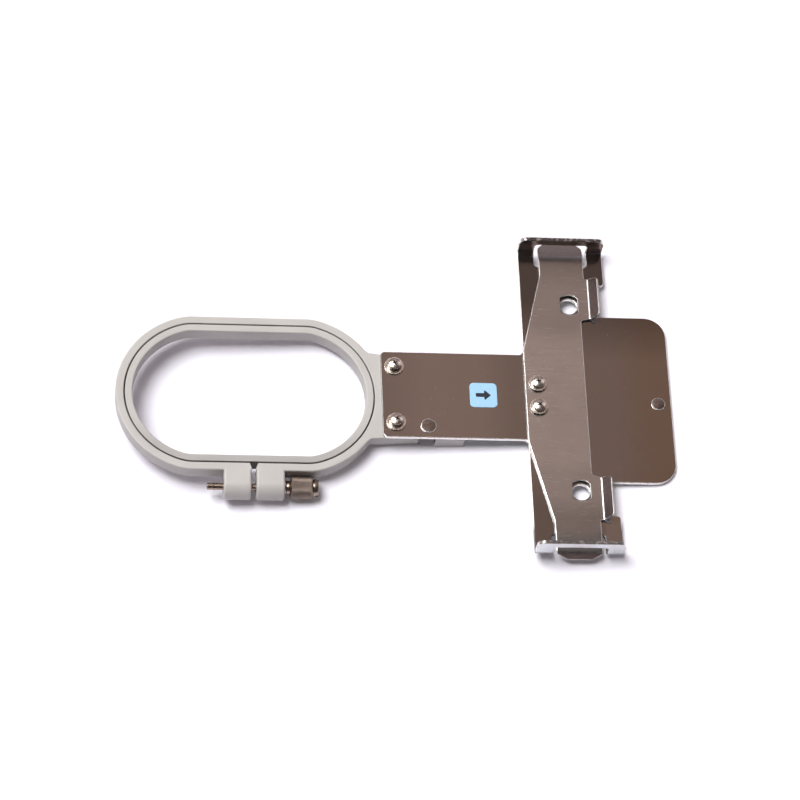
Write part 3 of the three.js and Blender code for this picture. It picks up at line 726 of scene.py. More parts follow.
def carrier_steel(finish, colour):
    """Polished sheet: brown clouding, specks and a few hairline scratches, with painted reflection that
    darkens the base's ends and lightens the flanges.
    """
    cloud = finish.noise(70, detail=4.0, rough=0.65)
    speck = finish.noise(2200, detail=2.0)
    marks = scratches(finish, (0.5, 2.1), 5000, 0.83)
    x, y, z = (finish.along(axis) for axis in "XYZ")
    # Painted reflection: the flat sheet darkens towards its far end, its near end and two bands across it,
    # and lightens at the near ear; the raised flanges are lightened, most at the near end.
    ear = finish.fades((x, -0.022, -0.012), (y, -0.04, -0.052, 1.0, 1.15))
    near = finish.maths("MAXIMUM", finish.spread(y, -0.036, -0.05, 1.0, 0.8), ear)
    ends = finish.fades(
        (y, 0.018, 0.046, 1.0, 0.47), (x, -0.103, -0.085, 0.84, 1.0), (x, -0.062, -0.048, 1.0, 0.82))
    flat = finish.product(ends, near)
    raised = finish.spread(z, 0.0003, 0.0015)
    flange = finish.product(raised, finish.spread(y, -0.05, 0.05, 1.14, 1.5))
    finish.tint(
        finish.spread(cloud, 0.32, 0.68), toned(colour, 0.98, 0.88, 0.85),
        toned(colour, 1.03, 1.06, 1.05), finish.maths("MAXIMUM", flat, flange))
    # Painted reflection and shade: the far flange is tinted browner and darkened on the strip above its
    # window and at its right end, and the tongue is tinted browner.
    far = finish.product(raised, finish.spread(y, 0.0, 0.05))
    finish.warm(far, (1.0, 0.76, 0.64))
    strip = finish.spread(z, (FLANGE_TOP - 4.2) * MM, (FLANGE_TOP - 3.4) * MM)
    finish.warm(finish.product(far, strip), (0.55, 0.55, 0.55))
    end = finish.spread(x, (BASE_RIGHT - 1.4) * MM, (BASE_RIGHT - 0.8) * MM)
    finish.warm(finish.product(far, end), (0.4, 0.4, 0.4))
    finish.warm(finish.spread(x, -0.006, 0.01), (1.0, 0.9, 0.79))
    rough = finish.maths("ADD", finish.spread(cloud, *NOISE_RANGE, 0.2, 0.14), finish.product(raised, 0.08))
    finish.roughness(finish.maths("ADD", rough, finish.product(marks, 0.1)))
    finish.bump(finish.maths("SUBTRACT", speck, marks), 0.04, 0.00001)


def spring_steel(finish, colour):
    """Brushed sheet: fine grain across, painted shade towards both ends, hairline scuffs mostly in the near
    half.
    """
    cloud = finish.noise(45, detail=3.0)
    grain = finish.noise(5000, (0.03, 1.0, 1.0), detail=3.0)
    y = finish.along("Y")
    near = finish.spread(y, 0.0, -0.05, 0.0, 0.09)
    patchy = finish.maths("ADD", finish.noise(60, detail=2.0), near)
    marks = finish.product(scratches(finish, (0.9, 2.3), 3600, 0.9), finish.spread(patchy, 0.58, 0.66))
    # Painted shade: the sheet darkens in steps towards both curled tabs, and the near tab's tip is lightened
    # as painted light.
    dim = finish.fades(
        (y, 0.025, 0.034, 1.0, 0.82), (y, 0.05, 0.066, 1.0, 0.72), (y, -0.03, -0.036, 1.0, 0.88),
        (y, -0.046, -0.056, 1.0, 0.72), (y, -0.06, -0.068, 1.0, 0.8), (y, -0.0715, -0.0725, 1.0, 1.4),
        (cloud, *NOISE_RANGE, 0.94, 1.04))
    # Painted reflection: the flared lips are tinted browner, and the near tab's tip is tinted warmer.
    lips = finish.spread(finish.along("Z"), 0.0015, 0.002)
    finish.tint(lips, colour, toned(colour, 0.98, 0.855, 0.725), dim)
    finish.warm(finish.spread(y, -0.0715, -0.0725), (1.0, 0.85, 0.87))
    rough = finish.spread(grain, 0.25, 0.75, 0.22, 0.28)
    finish.roughness(finish.maths("ADD", rough, finish.product(marks, 0.07)))
    finish.bump(grain, 0.03, 0.00001)


def cut_edge(finish, colour):
    """Sheared edge of the carrier: bright, with fine drag lines, and painted shade along the flanges' tops.
    """
    drag = finish.noise(2600, (1.0, 1.0, 0.08), detail=2.0)
    x, y, z = (finish.along(axis) for axis in "XYZ")
    # Painted shade: the flanges' top edges are darkened in patchy dashes, more at the near end; the windows'
    # top edges, the near flange's foot and the arm's left end are darkened too.
    top = finish.spread(z, (FLANGE_TOP - 0.7) * MM, (FLANGE_TOP - 0.3) * MM)
    patchy = finish.maths(
        "MAXIMUM", finish.spread(finish.noise(800, detail=1.0), 0.5, 0.62, 0.16, 0.6),
        finish.spread(y, -0.05, -0.06, 0.0, 0.28))
    top_shade = finish.maths("ADD", finish.product(top, finish.maths("SUBTRACT", patchy, 1.0)), 1.0)
    window_top = (FLANGE_TOP - WINDOW_STRIP) * MM
    bar = finish.fades(
        (z, window_top - 0.0006, window_top - 0.0003),
        (z, window_top + 0.0006, window_top + 0.0003, 0.0, 0.7))
    near_foot = finish.fades((y, -0.058, -0.062), (z, 0.0015, 0.0008, 0.0, 0.85))
    arm_end = finish.spread(x, (ARM_LEFT + 0.6) * MM, (ARM_LEFT + 1.0) * MM, 0.4, 1.0)
    dim = finish.product(top_shade, finish.less(bar), finish.less(near_foot), arm_end)
    finish.vary(drag, colour, (0.88, 1.08), (0.24, 0.38), (0.05, 0.00002), dim)


def leaf_cut_edge(finish, colour):
    """Sheared edge of the spring plate: a bright rolled top over a foot darkened by painted shade."""
    drag = finish.noise(2600, (1.0, 1.0, 0.08), detail=2.0)
    x, y, z = (finish.along(axis) for axis in "XYZ")
    reach = finish.maths("ABSOLUTE", y, 0.0)
    # Painted shade: the lower part of the edge is darkened except on the curled tabs, and so are the edges
    # by the D-shaped holes, at the far tip and on the lips.
    foot_shade = finish.maths(
        "MAXIMUM", finish.spread(z, 0.0007, 0.001, 0.3, 1.0), finish.spread(reach, 0.058, 0.062, 0.0, 0.8))
    hole = []
    for place, middle, most in ((reach, HOLE_Y, 1.0), (x, HOLE_LINE, 0.65)):
        off = finish.maths("ABSOLUTE", finish.maths("SUBTRACT", place, middle * MM), 0.0)
        hole.append((off, 0.0042, 0.0038, 0.0, most))
    ends = finish.fades((y, 0.066, 0.07, 1.0, 0.35), (z, 0.0024, 0.0034, 1.0, 0.55))
    dim = finish.product(foot_shade, finish.less(finish.fades(*hole)), ends)
    finish.vary(drag, colour, (0.9, 1.08), (0.24, 0.38), (0.05, 0.00002), dim)


def hoop_plastic(finish, colour, near):
    """Satin moulded plastic with a faint grain and clouding, with painted shade that makes its walls darker
    than its tops.

    Near dims the near side, as painted shade.
    """
    cloud = finish.noise(60, detail=3.0)
    grain = finish.noise(2600, detail=2.0)
    # Painted shade: walls darker than tops, and the near side darker by the factor near.
    dim = finish.fades(
        (finish.facing("Z"), 0.2, 0.8, 0.87, 1.0), (finish.along("Y"), -0.012, -0.026, 1.0, near))
    pale = shade(colour, 1.03)
    finish.tint(finish.spread(cloud, *NOISE_RANGE), shade(colour, 0.96), pale, dim)
    finish.roughness(finish.spread(grain, *NOISE_RANGE, 0.36, 0.5))
    finish.bump(grain, 0.12, 0.00004)


def plated_metal(finish, colour):
    """Satin plating of the screws and washers, unevenly bright, with painted shade on its walls."""
    # Painted shade: walls and rims darker than the flat tops.
    walls = finish.spread(finish.facing("Z"), 0.2, 0.8, 0.25, 1.0)
    cloud = finish.noise(900, detail=3.0)
    finish.vary(cloud, colour, (0.9, 1.05), (0.22, 0.32), (0.06, 0.00002), walls)


def staked_steel(finish, colour):
    """Staked steel of the riveted pins, polished like the sheet but uneven."""
    cloud = finish.noise(900, detail=3.0)
    finish.tint(
        finish.spread(cloud, *NOISE_RANGE), toned(colour, 0.55, 0.47, 0.43),
        toned(colour, 0.85, 0.74, 0.68))
    finish.roughness(finish.spread(cloud, *NOISE_RANGE, 0.17, 0.25))
    finish.bump(cloud, 0.05, 0.00002)


def mottled(finish, colour, scale, stretch, detail, shades, rough, relief=None):
    """A plain finish that follows one noise."""
    finish.vary(finish.noise(scale, stretch, detail=detail), colour, shades, rough, relief)


# Material, colour setting, metallic, roughness, its shading and what that needs besides
EVEN = (1, 1, 1)
ROUND_X = (1.0, 0.1, 0.1)
ROUND_Z = (0.2, 0.2, 3.0)
FINISHES = {
    "carrier": ("polished_carrier_steel", "carrier", 1.0, 0.16, carrier_steel),
    "carrier_cut": ("carrier_cut_edge", "cut", 1.0, 0.3, cut_edge),
    "leaf": ("brushed_spring_steel", "leaf", 1.0, 0.26, spring_steel),
    "leaf_cut": ("spring_cut_edge", "cut", 1.0, 0.3, leaf_cut_edge),
    "plastic": ("grey_hoop_plastic", "plastic", 0.0, 0.42, hoop_plastic, 1.0),
    # The inner hoop takes painted shade on its near side.
    "inner_plastic": ("grey_inner_plastic", "plastic", 0.0, 0.42, hoop_plastic, 0.8),
    # Painted shade: dark plastic on the walls of the split's mouth and of the tab's slot.
    "crevice": (
        "dusty_plastic", "plastic", 0.0, 0.6,
        mottled, 700, EVEN, 4.0, (0.22, 0.38), (0.5, 0.75), (0.1, 0.00004)),
    "plated": ("bright_plating", "plated", 1.0, 0.34, plated_metal),
    "staked": ("staked_pin_steel", "carrier", 1.0, 0.22, staked_steel),
    # Painted shade in the screws' cross recesses.
    "recess": (
        "darkened_recess", "recess", 0.6, 0.5,
        mottled, 1500, EVEN, 2.0, (0.7, 1.3), (0.42, 0.58)),
    "turned": (
        "turned_metal", "turned", 1.0, 0.27,
        mottled, 2500, ROUND_X, 3.0, (0.88, 1.06), (0.24, 0.3), (0.05, 0.00002)),
    "knurled": (
        "knurled_metal", "knurled", 1.0, 0.4,
        mottled, 500, EVEN, 4.0, (0.85, 1.1), (0.36, 0.48), (0.05, 0.00002)),
    "brass": (
        "insert_brass", "brass", 1.0, 0.3,
        mottled, 900, ROUND_Z, 3.0, (0.85, 1.05), (0.22, 0.36)),
    "label": (
        "blue_film", "label", 0.0, 0.32,
        mottled, 1500, EVEN, 3.0, (0.95, 1.04), (0.26, 0.38), (0.05, 0.00003)),
    "ink": (
        "print_ink", "ink", 0.0, 0.4,
        mottled, 2500, EVEN, 2.0, (0.8, 1.4), (0.32, 0.46)),
}
made_finishes = {}


def finish_of(name):
    """The material of a finish, made once."""
    if name not in made_finishes:
        material, setting, metallic, roughness, shading, *rest = FINISHES[name]
        colour = getattr(bpy.context.scene.hoop_colours, setting)
        finish = Finish(material, colour, metallic, roughness)
        shading(finish, colour, *rest)
        made_finishes[name] = finish.material
    return made_finishes[name]


# Pieces


def screw_holes(*nodes):
    """Round holes for screws, at the middles of their CAD nodes."""
    return [circle(*middle_mm(node).xy, BORE_R, 24) for node in nodes]


def carrier_mesh(edge):
    """The stamped carrier: a flat blank with its windows, then both flanges bent up."""
    half = [
        (ARM_LEFT, ARM_HALF, ARM_CORNER),
        (BASE_LEFT, ARM_HALF, INNER_CORNER),
        (BASE_LEFT, BLANK_END, FLANGE_CORNER),
        (BASE_RIGHT, BLANK_END, FLANGE_CORNER),
        (BASE_RIGHT, EAR_START, EAR_CORNER),
        (NOTCH_X, EAR_START, INNER_CORNER),
        (NOTCH_X, TONGUE_HALF, INNER_CORNER),
        (TONGUE_RIGHT, TONGUE_HALF, TONGUE_CORNER),
    ]
    outline = rounded(half + [(x, -y, r) for x, y, r in half[::-1]], 10)
    holes = []
    for side in (1, -1):
        corners = [
            (WINDOW_LEFT, WINDOW_INNER), (WINDOW_RIGHT, WINDOW_INNER),
            (WINDOW_RIGHT, WINDOW_OUTER), (WINDOW_LEFT, WINDOW_OUTER)]
        holes.append(rounded([(x, side * y, WINDOW_CORNER) for x, y in corners]))
        holes.append(circle(HOLE_LINE, side * HOLE_Y, HOLE_R, 48))
    holes += screw_holes("hoop_screw_far", "hoop_screw_near", "spring_screw_far", "spring_screw_near")
    bm = plate(outline, holes, -SHEET, 0, edge, 3, SHEET_ROLL)
    rows = [BEND_Y + BEND_RUN * k / 8 for k in range(9)]
    cut_rows(bm, 1, rows + [-row for row in rows])
    for vert in bm.verts:
        x, y, z = vert.co
        beyond = abs(y) - BEND_Y
        if beyond <= 0:
            continue
        radius = BEND_INNER - z
        angle = min(beyond, BEND_RUN) / BEND_MIDDLE
        up = max(0.0, beyond - BEND_RUN)
        far = BEND_Y + radius * math.sin(angle)
        vert.co = (x, math.copysign(far, y), BEND_INNER - radius * math.cos(angle) + up)
    return finished(bm)


def leaf_half(tip_half, tab_corner, tip_corner):
    """Outline of one half of the spring plate's blank, for the far side."""
    return [
        (LEAF_LEFT, LEAF_WAIST, LEAF_WAIST_R),
        (TAB_LEFT, LEAF_TAPER_END, LEAF_TAPER_R),
        (TAB_LEFT, BASE_END, tab_corner),
        (TAB_MIDDLE - tip_half, TAB_TIP, tip_corner),
        (TAB_MIDDLE + tip_half, TAB_TIP, tip_corner),
        (TAB_RIGHT, BASE_END, tab_corner),
        (TAB_RIGHT, LIP_END, LIP_ROOT_CORNER),
        (LIP_X, LIP_END, 0),
        (LIP_BLANK, LIP_END - LIP_RELIEF, LIP_CORNER),
        (LIP_BLANK, LIP_START + LIP_RELIEF, LIP_CORNER),
        (LIP_X, LIP_START, 0),
        (LEAF_NOTCH_X, LEAF_NOTCH_HALF, LEAF_NOTCH_CORNER),
    ]


def leaf_mesh(edge):
    """The spring plate: a flat blank, then the lips flared up and the end tabs curled down."""
    far = leaf_half(FAR_TIP_HALF, FAR_TAB_CORNER, FAR_TIP_CORNER)
    near = leaf_half(NEAR_TIP_HALF, NEAR_TAB_CORNER, NEAR_TIP_CORNER)
    outline = rounded(far + [(x, -y, r) for x, y, r in near[::-1]], 10)
    slice_angle = math.acos(D_HOLE_HALF / D_HOLE_R)
    holes = []
    for side in (1, -1):
        hole = []
        for turn in (0, math.pi):
            for k in range(17):
                angle = turn + slice_angle + (math.pi - 2 * slice_angle) * k / 16
                hole.append(polar(HOLE_LINE, side * HOLE_Y, D_HOLE_R, angle))
        holes.append(hole)
    holes += screw_holes("spring_screw_far", "spring_screw_near")
    bm = plate(outline, holes, LEAF_TOP - LEAF, LEAF_TOP, edge, 4, LEAF_ROLL)
    tab_rows = span(TAB_BEND_START, TAB_TIP - 0.5, 0.9)
    cut_rows(bm, 1, tab_rows + [-row for row in tab_rows])
    cut_rows(bm, 0, [LIP_X + LIP_BEND_RUN * k / 5 for k in range(6)])
    for vert in bm.verts:
        x, y, z = vert.co
        if abs(y) > TAB_BEND_START:
            bend = FAR_TAB_BEND_R if y > 0 else NEAR_TAB_BEND_R
            angle = (abs(y) - TAB_BEND_START) / bend
            radius = bend - (LEAF_TOP - z)
            reach = TAB_BEND_START + radius * math.sin(angle)
            vert.co = (x, math.copysign(reach, y), LEAF_TOP - bend + radius * math.cos(angle))
        elif x > LIP_X:
            beyond = x - LIP_X
            radius = LIP_BEND + LEAF_TOP - z
            angle = min(beyond, LIP_BEND_RUN) / LIP_BEND_MIDDLE
            run = max(0.0, beyond - LIP_BEND_RUN) * math.sqrt(0.5)
            vert.co = (
                LIP_X + radius * math.sin(angle) + run, y,
                LEAF_TOP + LIP_BEND - radius * math.cos(angle) + run)
    return finished(bm)


def band_mesh(outer, inner, outer_edge, inner_edge, foot=0.0):
    """A hoop: a band with rounded rims, swept round the outline.

    Its inner wall may reach further in at its foot.
    """
    corners = [(outer, RING_LOW, 0), (outer, RING_TOP, 1), (inner, RING_TOP, 2), (inner - foot, RING_LOW, 3)]
    profile = []
    for radius, height, quarter in corners:
        if foot and quarter == 3:
            profile += [(inner, RING_LOW + FOOT_HIGH), (inner - foot, RING_LOW + FOOT_LOW)]
        edge = outer_edge if radius == outer else inner_edge
        across = -edge if radius == outer else edge
        up = edge if height == RING_LOW else -edge
        profile += corner_arc(radius + across, height + up, edge, quarter, RIM_STEPS)
    bm = bmesh.new()
    rows = [[bm.verts.new((p.x, p.y, height)) for p in hoop_line(radius)] for radius, height in profile]
    skin(bm, rows + rows[:1])
    return finished(bm)


def tab_outline():
    """Plan of the tab under the arm, with fillets into the ring and the slot round the pin."""
    pin = middle_mm("locating_pin")
    centre = HOOP_X + ARC_CENTRE
    reach = OUTER_OUT_R + TAB_FILLET
    fillet_y = ARM_HALF + TAB_FILLET
    fillet_x = centre + math.sqrt(reach ** 2 - fillet_y ** 2)
    toward = math.atan2(-fillet_y, centre - fillet_x)
    fillet = []
    for k in range(9):
        angle = -math.pi / 2 + (toward + math.pi / 2) * k / 8
        fillet.append(polar(fillet_x, fillet_y, TAB_FILLET, angle))
    lean = math.atan2(fillet[-1].y, fillet[-1].x - centre)
    deep = OUTER_OUT_R - OUTER_WALL / 2
    far_side = fillet + [polar(centre, 0, deep, lean)]
    wall = [polar(centre, 0, deep, lean * k / 6) for k in range(5, -6, -1)]
    slot_left = pin.x - TAB_SLOT_SHIFT - TAB_SLOT_WIDE / 2
    slot_right = slot_left + TAB_SLOT_WIDE
    slot_end = pin.y + TAB_SLOT_BEHIND
    near_end = rounded([
        (slot_left, -ARM_HALF, TAB_SLOT_EDGE), (slot_left, slot_end, TAB_SLOT_R),
        (slot_right, slot_end, TAB_SLOT_R), (slot_right, -ARM_HALF, TAB_SLOT_EDGE),
        (TAB_END, -ARM_HALF, TAB_EDGE), (TAB_END, ARM_HALF, TAB_EDGE)], 6)
    near_side = [Vector((p.x, -p.y)) for p in far_side[::-1]]
    return far_side + wall + near_side + near_end


def lug_outline():
    """Section of a lug in (y, z): flush on top, round in front, with a sloping foot."""
    wall = -(OUTER_OUT_R - FLAT_CUT)
    points = [Vector((wall + OUTER_WALL / 2, RING_TOP)), Vector((CLAMP.y, RING_TOP))]
    for k in range(1, 25):
        angle = math.pi / 2 + math.pi * k / 24
        points.append(polar(CLAMP.y, CLAMP.z, LUG_R, angle))
    points.append(Vector((CLAMP.y + LUG_FOOT, CLAMP.z - LUG_R)))
    points.append(Vector((wall, RING_LOW + LUG_LIFT)))
    points.append(Vector((wall + OUTER_WALL / 2, RING_LOW + LUG_LIFT)))
    return points


def outer_hoop_mesh(sizes):
    """The outer hoop: split ring, two lugs with the screw's bore, and the tab with its pockets."""
    ring = band_mesh(
        OUTER_OUT_R, OUTER_OUT_R - OUTER_WALL + SEAM_EASE,
        sizes.ring_edge / MM, 2 * sizes.seam_edge / MM, SEAM_FOOT)
    face = -(OUTER_OUT_R - OUTER_WALL - FLAT_CUT)
    right = [
        (SPLIT / 2, face - 2 * OUTER_WALL), (SPLIT / 2, face - SPLIT_MOUTH_DEEP),
        (SPLIT_MOUTH / 2, face), (SPLIT_MOUTH / 2, face + PAST)]
    left = [(-x, y) for x, y in right[::-1]]
    outline = [Vector((SPLIT_X + x, y)) for x, y in left + right]
    split = plate(outline, [], RING_LOW - PAST, RING_TOP + PAST, CUTTER_EDGE, 1)
    hoop = combine(ring, finished(split), "DIFFERENCE")
    tab = plate(tab_outline(), [], RING_TOP - TAB_THICK, RING_TOP, TAB_RIM)
    hoop = combine(hoop, finished(tab), "UNION")
    bore = circle(CLAMP.y, CLAMP.z, SHANK_R + SHANK_GAP, 32)
    for start, end in ((LUG_LEFT, SPLIT_X - SPLIT / 2), (SPLIT_X + SPLIT / 2, LUG_RIGHT)):
        lug = along_x(plate(lug_outline(), [bore], start, end, sizes.lug_edge / MM, 4))
        hoop = combine(hoop, finished(lug), "UNION")
    cutters = []
    nut_r = (NUT_HALF + POCKET_GAP) / math.cos(math.pi / 6)
    nut = [Vector((CLAMP.y, CLAMP.z)) + p for p in circle(0, 0, nut_r, 6)]
    cutters.append(along_x(plate(nut, [], LUG_LEFT - PAST, NUT_END, CUTTER_EDGE, 1)))
    for node in ("hoop_insert_far", "hoop_insert_near"):
        low, _, spot, radius = round_mm(node)
        outline = circle(spot.x, spot.y, radius + POCKET_GAP, 32)
        cutters.append(plate(outline, [], low.z, RING_TOP + PAST, CUTTER_EDGE, 1))
    hoop = combine(hoop, finished(joined(*cutters)), "DIFFERENCE")
    mark_crevices(hoop)
    return hoop


def mark_crevices(mesh):
    """Marks the walls of the split's mouth and of the tab's slot for the finish with painted shade."""
    wall = -(OUTER_OUT_R - FLAT_CUT)
    slot_left = middle_mm("locating_pin").x - TAB_SLOT_SHIFT - TAB_SLOT_WIDE / 2
    slot_end = middle_mm("locating_pin").y + TAB_SLOT_BEHIND
    for face in mesh.polygons:
        x, y, z = face.center / MM
        upright = abs(face.normal.z) < 0.5 and z < RING_TOP - CREVICE_TOP
        mouth = abs(x - SPLIT_X) < SPLIT_MOUTH / 2 and wall - CREVICE_END < y < wall + OUTER_WALL
        across = -CREVICE_SLACK < x - slot_left < TAB_SLOT_WIDE + CREVICE_SLACK
        slot = across and -ARM_HALF + CREVICE_END < y < slot_end + CREVICE_SLACK
        face.material_index = int(upright and (mouth or slot))


def thumb_screw_mesh(sizes):
    """The clamp screw: thread, collar, diamond knurl and slotted end, lying along X."""
    collar = THRUST_HIGH.x
    knurl_start = collar + COLLAR_LONG
    knurl_end = knurl_start + KNURL_LONG
    deep = sizes.knurl_deep / MM
    lean = math.tau * KNURL_R / sizes.knurl_count

    def knurl(height, angle):
        along = (height - knurl_start) / lean
        one = abs(((sizes.knurl_count * angle / math.tau + along) % 1) - 0.5)
        two = abs(((sizes.knurl_count * angle / math.tau - along) % 1) - 0.5)
        ends = min(height - knurl_start, knurl_end - height)
        return min(KNURL_R - 2 * deep * max(0.5 - one, 0.5 - two), KNURL_R - KNURL_CHAMFER + ends)

    shank = thread(SCREW_LOW.x, collar + 0.2, SHANK_R, CLAMP_THREAD_DEEP)
    collar_part = lathe([
        (0, collar + COLLAR_GAP), (COLLAR_R - 0.45, collar + COLLAR_GAP), (COLLAR_R - 0.22, collar + 0.14),
        (COLLAR_R - 0.07, collar + 0.42), (COLLAR_R, collar + 0.85), (COLLAR_R, knurl_start - 0.4),
        (COLLAR_R - 0.3, knurl_start), (COLLAR_R - 0.3, knurl_start + 0.3), (0, knurl_start + 0.3)])
    knurl_part = rod(span(knurl_start, knurl_end, lean / 6), sizes.knurl_count * 6, knurl)
    cap = lathe([
        (0, knurl_end - 0.3), (CAP_R - 0.7, knurl_end - 0.3), (CAP_R - 0.7, knurl_end + 0.25),
        (CAP_R - 0.1, knurl_end + 0.45), (CAP_R, knurl_end + 0.75), (CAP_R, SCREW_HIGH.x - 0.5),
        (CAP_R - 0.15, SCREW_HIGH.x - 0.2), (CAP_R - 0.5, SCREW_HIGH.x), (0, SCREW_HIGH.x)])
    across, half = CAP_R + PAST, CAP_SLOT / 2
    slot = plate(
        [Vector(p) for p in ((-across, -half), (across, -half), (across, half), (-across, half))],
        [], SCREW_HIGH.x - CAP_SLOT_DEEP, SCREW_HIGH.x + PAST, CUTTER_EDGE, 1)
    end = combine(finished(cap), finished(slot), "DIFFERENCE")
    shaft = combine(finished(collar_part), finished(shank), "UNION")
    mesh = combine(shaft, end, "UNION")
    knurl_mesh = finished(knurl_part)
    turn = Matrix(((0, 0, 1, 0), (1, 0, 0, CLAMP.y * MM), (0, 1, 0, CLAMP.z * MM), (0, 0, 0, 1)))
    for made in (mesh, knurl_mesh):
        made.transform(turn)
    return mesh, knurl_mesh


def pan_head(seat):
    """The turned head of a pan screw with its cross recess, seated at a height."""
    profile = [(0, seat), (HEAD_R - 0.1, seat), (HEAD_R, seat + 0.1)]
    for k in range(6):
        angle = (math.pi / 2 - HEAD_TILT) * k / 5
        height = seat + HEAD_SIDE + HEAD_ROLL * math.sin(angle)
        profile.append((HEAD_R - HEAD_ROLL * (1 - math.cos(angle)), height))
    crown = profile[-1][0] / math.sin(HEAD_TILT)
    for k in range(1, 8):
        tilt = HEAD_TILT * (1 - k / 7)
        profile.append((crown * math.sin(tilt), seat + HEAD_HIGH - crown * (1 - math.cos(tilt))))
    head = finished(lathe(profile))
    top = seat + HEAD_HIGH
    arm, half = RECESS_HALF, RECESS_WIDE
    cross = [
        (arm, -half), (arm, half), (half, half), (half, arm), (-half, arm), (-half, half),
        (-arm, half), (-arm, -half), (-half, -half), (-half, -arm), (half, -arm), (half, -half)]
    bm = bmesh.new()
    rings = []
    steps = ((top + 0.4, RECESS_FLARE), (top - RECESS_DEEP * 0.6, 0.72), (top - RECESS_DEEP, 0.34))
    for height, grow in steps:
        rings.append([bm.verts.new((x * grow, y * grow, height)) for x, y in cross])
    skin(bm, rings)
    for ring in (rings[0], rings[-1]):
        bm.faces.new(ring)
    return combine(head, finished(bm), "DIFFERENCE")


def pan_screw_mesh(node, turn):
    """A pan screw on its CAD place, with its recess turned by an angle."""
    low, high, spot, _ = round_mm(node)
    seat = high.z - HEAD_HIGH
    head = pan_head(seat)
    shank = finished(thread(low.z, seat + 0.2, SHANK_R))
    mesh = combine(head, shank, "UNION")
    # Faces inside the cross recess get the dark recess finish, as painted shade.
    for face in mesh.polygons:
        x, y, z = face.center / MM
        within = math.hypot(x, y) < RECESS_HALF * RECESS_FLARE
        if within and seat + RECESS_ABOVE_SEAT < z < high.z - RECESS_BELOW_TOP:
            face.material_index = 1
    mesh.transform(Matrix.Translation((spot.x * MM, spot.y * MM, 0)) @ Matrix.Rotation(turn, 4, "Z"))
    return mesh


def ring_mesh(node, bore, edge, axis="Z"):
    """A flat washer or round nut in a CAD node's box, with rounded edges."""
    low, high, spot, radius = round_mm(node)
    bottom, top = low.z, high.z
    if axis == "X":
        bottom, top, radius = low.x, high.x, (high.z - low.z) / 2
    profile = []
    for outer, height, quarter in ((True, bottom, 0), (True, top, 1), (False, top, 2), (False, bottom, 3)):
        centre = radius - edge if outer else bore + edge
        middle = height + edge if height == bottom else height - edge
        profile += corner_arc(centre, middle, edge, quarter, 3)
    bm = lathe(profile, closed=True)
    if axis == "X":
        bm = moved(along_x(bm), 0, spot.y, spot.z)
    else:
        bm = moved(bm, spot.x, spot.y, 0)
    return finished(bm)


def lock_washer_mesh(node, turn):
    """A split spring washer: a square wire that rises a little from end to end."""
    low, high, spot, radius = round_mm(node)
    wire = (high.z - low.z) * WIRE_SHARE
    rise = high.z - low.z - wire
    edge = THIN_EDGE
    corners = [
        (BORE_R + edge, 0), (radius - edge, 0), (radius, edge), (radius, wire - edge),
        (radius - edge, wire), (BORE_R + edge, wire), (BORE_R, wire - edge), (BORE_R, edge)]
    bm = bmesh.new()
    rows = []
    for k in range(WIRE_STEPS + 1):
        share = k / WIRE_STEPS
        angle = turn + WIRE_GAP / 2 + (math.tau - WIRE_GAP) * share
        rows.append([
            bm.verts.new((r * math.cos(angle), r * math.sin(angle), low.z + rise * share + h))
            for r, h in corners])
    skin(bm, rows)
    for row in (rows[0], rows[-1]):
        bm.faces.new(row)
    return finished(moved(bm, spot.x, spot.y, 0))


def pin_mesh(node, shank, foot):
    """A riveted pin: low flat head with a fine staked ring, shank and foot."""
    low, high, spot, radius = round_mm(node)
    top = min(high.z, PIN_TOP)
    profile = [(0, low.z), (foot - 0.25, low.z), (foot, low.z + 0.25)]
    if foot > shank:
        profile += [(foot, -SHEET), (shank, -SHEET)]
    profile += [
        (shank, 0), (radius, 0), (radius, top - 0.2), (radius - 0.05, top - 0.09),
        (radius - 0.13, top - 0.02), (radius - 0.24, top), (radius - 0.34, top),
        (radius - 0.4, top - 0.1), (radius - 0.9, top - 0.03), (0, top)]
    mesh = finished(moved(lathe(profile), spot.x, spot.y, 0))
    for face in mesh.polygons:
        x, y, z = face.center / MM
        face.material_index = int(z > 0.02 and math.hypot(x - spot.x, y - spot.y) > radius - PIN_RIM)
    return mesh


def arrow_outline(x, y, long, wide):
    """A plain arrow that points along +X."""
    head = long * 0.45
    stem = wide * 0.18
    corners = [
        (-long / 2, -stem), (long / 2 - head, -stem), (long / 2 - head, -wide / 2), (long / 2, 0),
        (long / 2 - head, wide / 2), (long / 2 - head, stem), (-long / 2, stem)]
    return rounded([(x + a, y + b, ARROW_CORNER) for a, b in corners], 4)


# Operators


class HOOP_OT_carrier(bpy.types.Operator):
    """Makes the stamped carrier sheet"""

    bl_idname = "embroidery_hoop.carrier"
    bl_label = "Carrier sheet"

    def execute(self, context):
        sizes = context.scene.hoop_sizes
        piece("carrier_sheet", carrier_mesh(sizes.sheet_edge / MM), "carrier", ["carrier_plate"],
              "carrier", second="carrier_cut")
        return {"FINISHED"}


class HOOP_OT_spring(bpy.types.Operator):
    """Makes the spring plate that clips to the machine"""

    bl_idname = "embroidery_hoop.spring"
    bl_label = "Spring plate"

    def execute(self, context):
        sizes = context.scene.hoop_sizes
        piece("spring_leaf", leaf_mesh(sizes.leaf_edge / MM), "clip", ["spring_plate"],
              "leaf", second="leaf_cut")
        return {"FINISHED"}


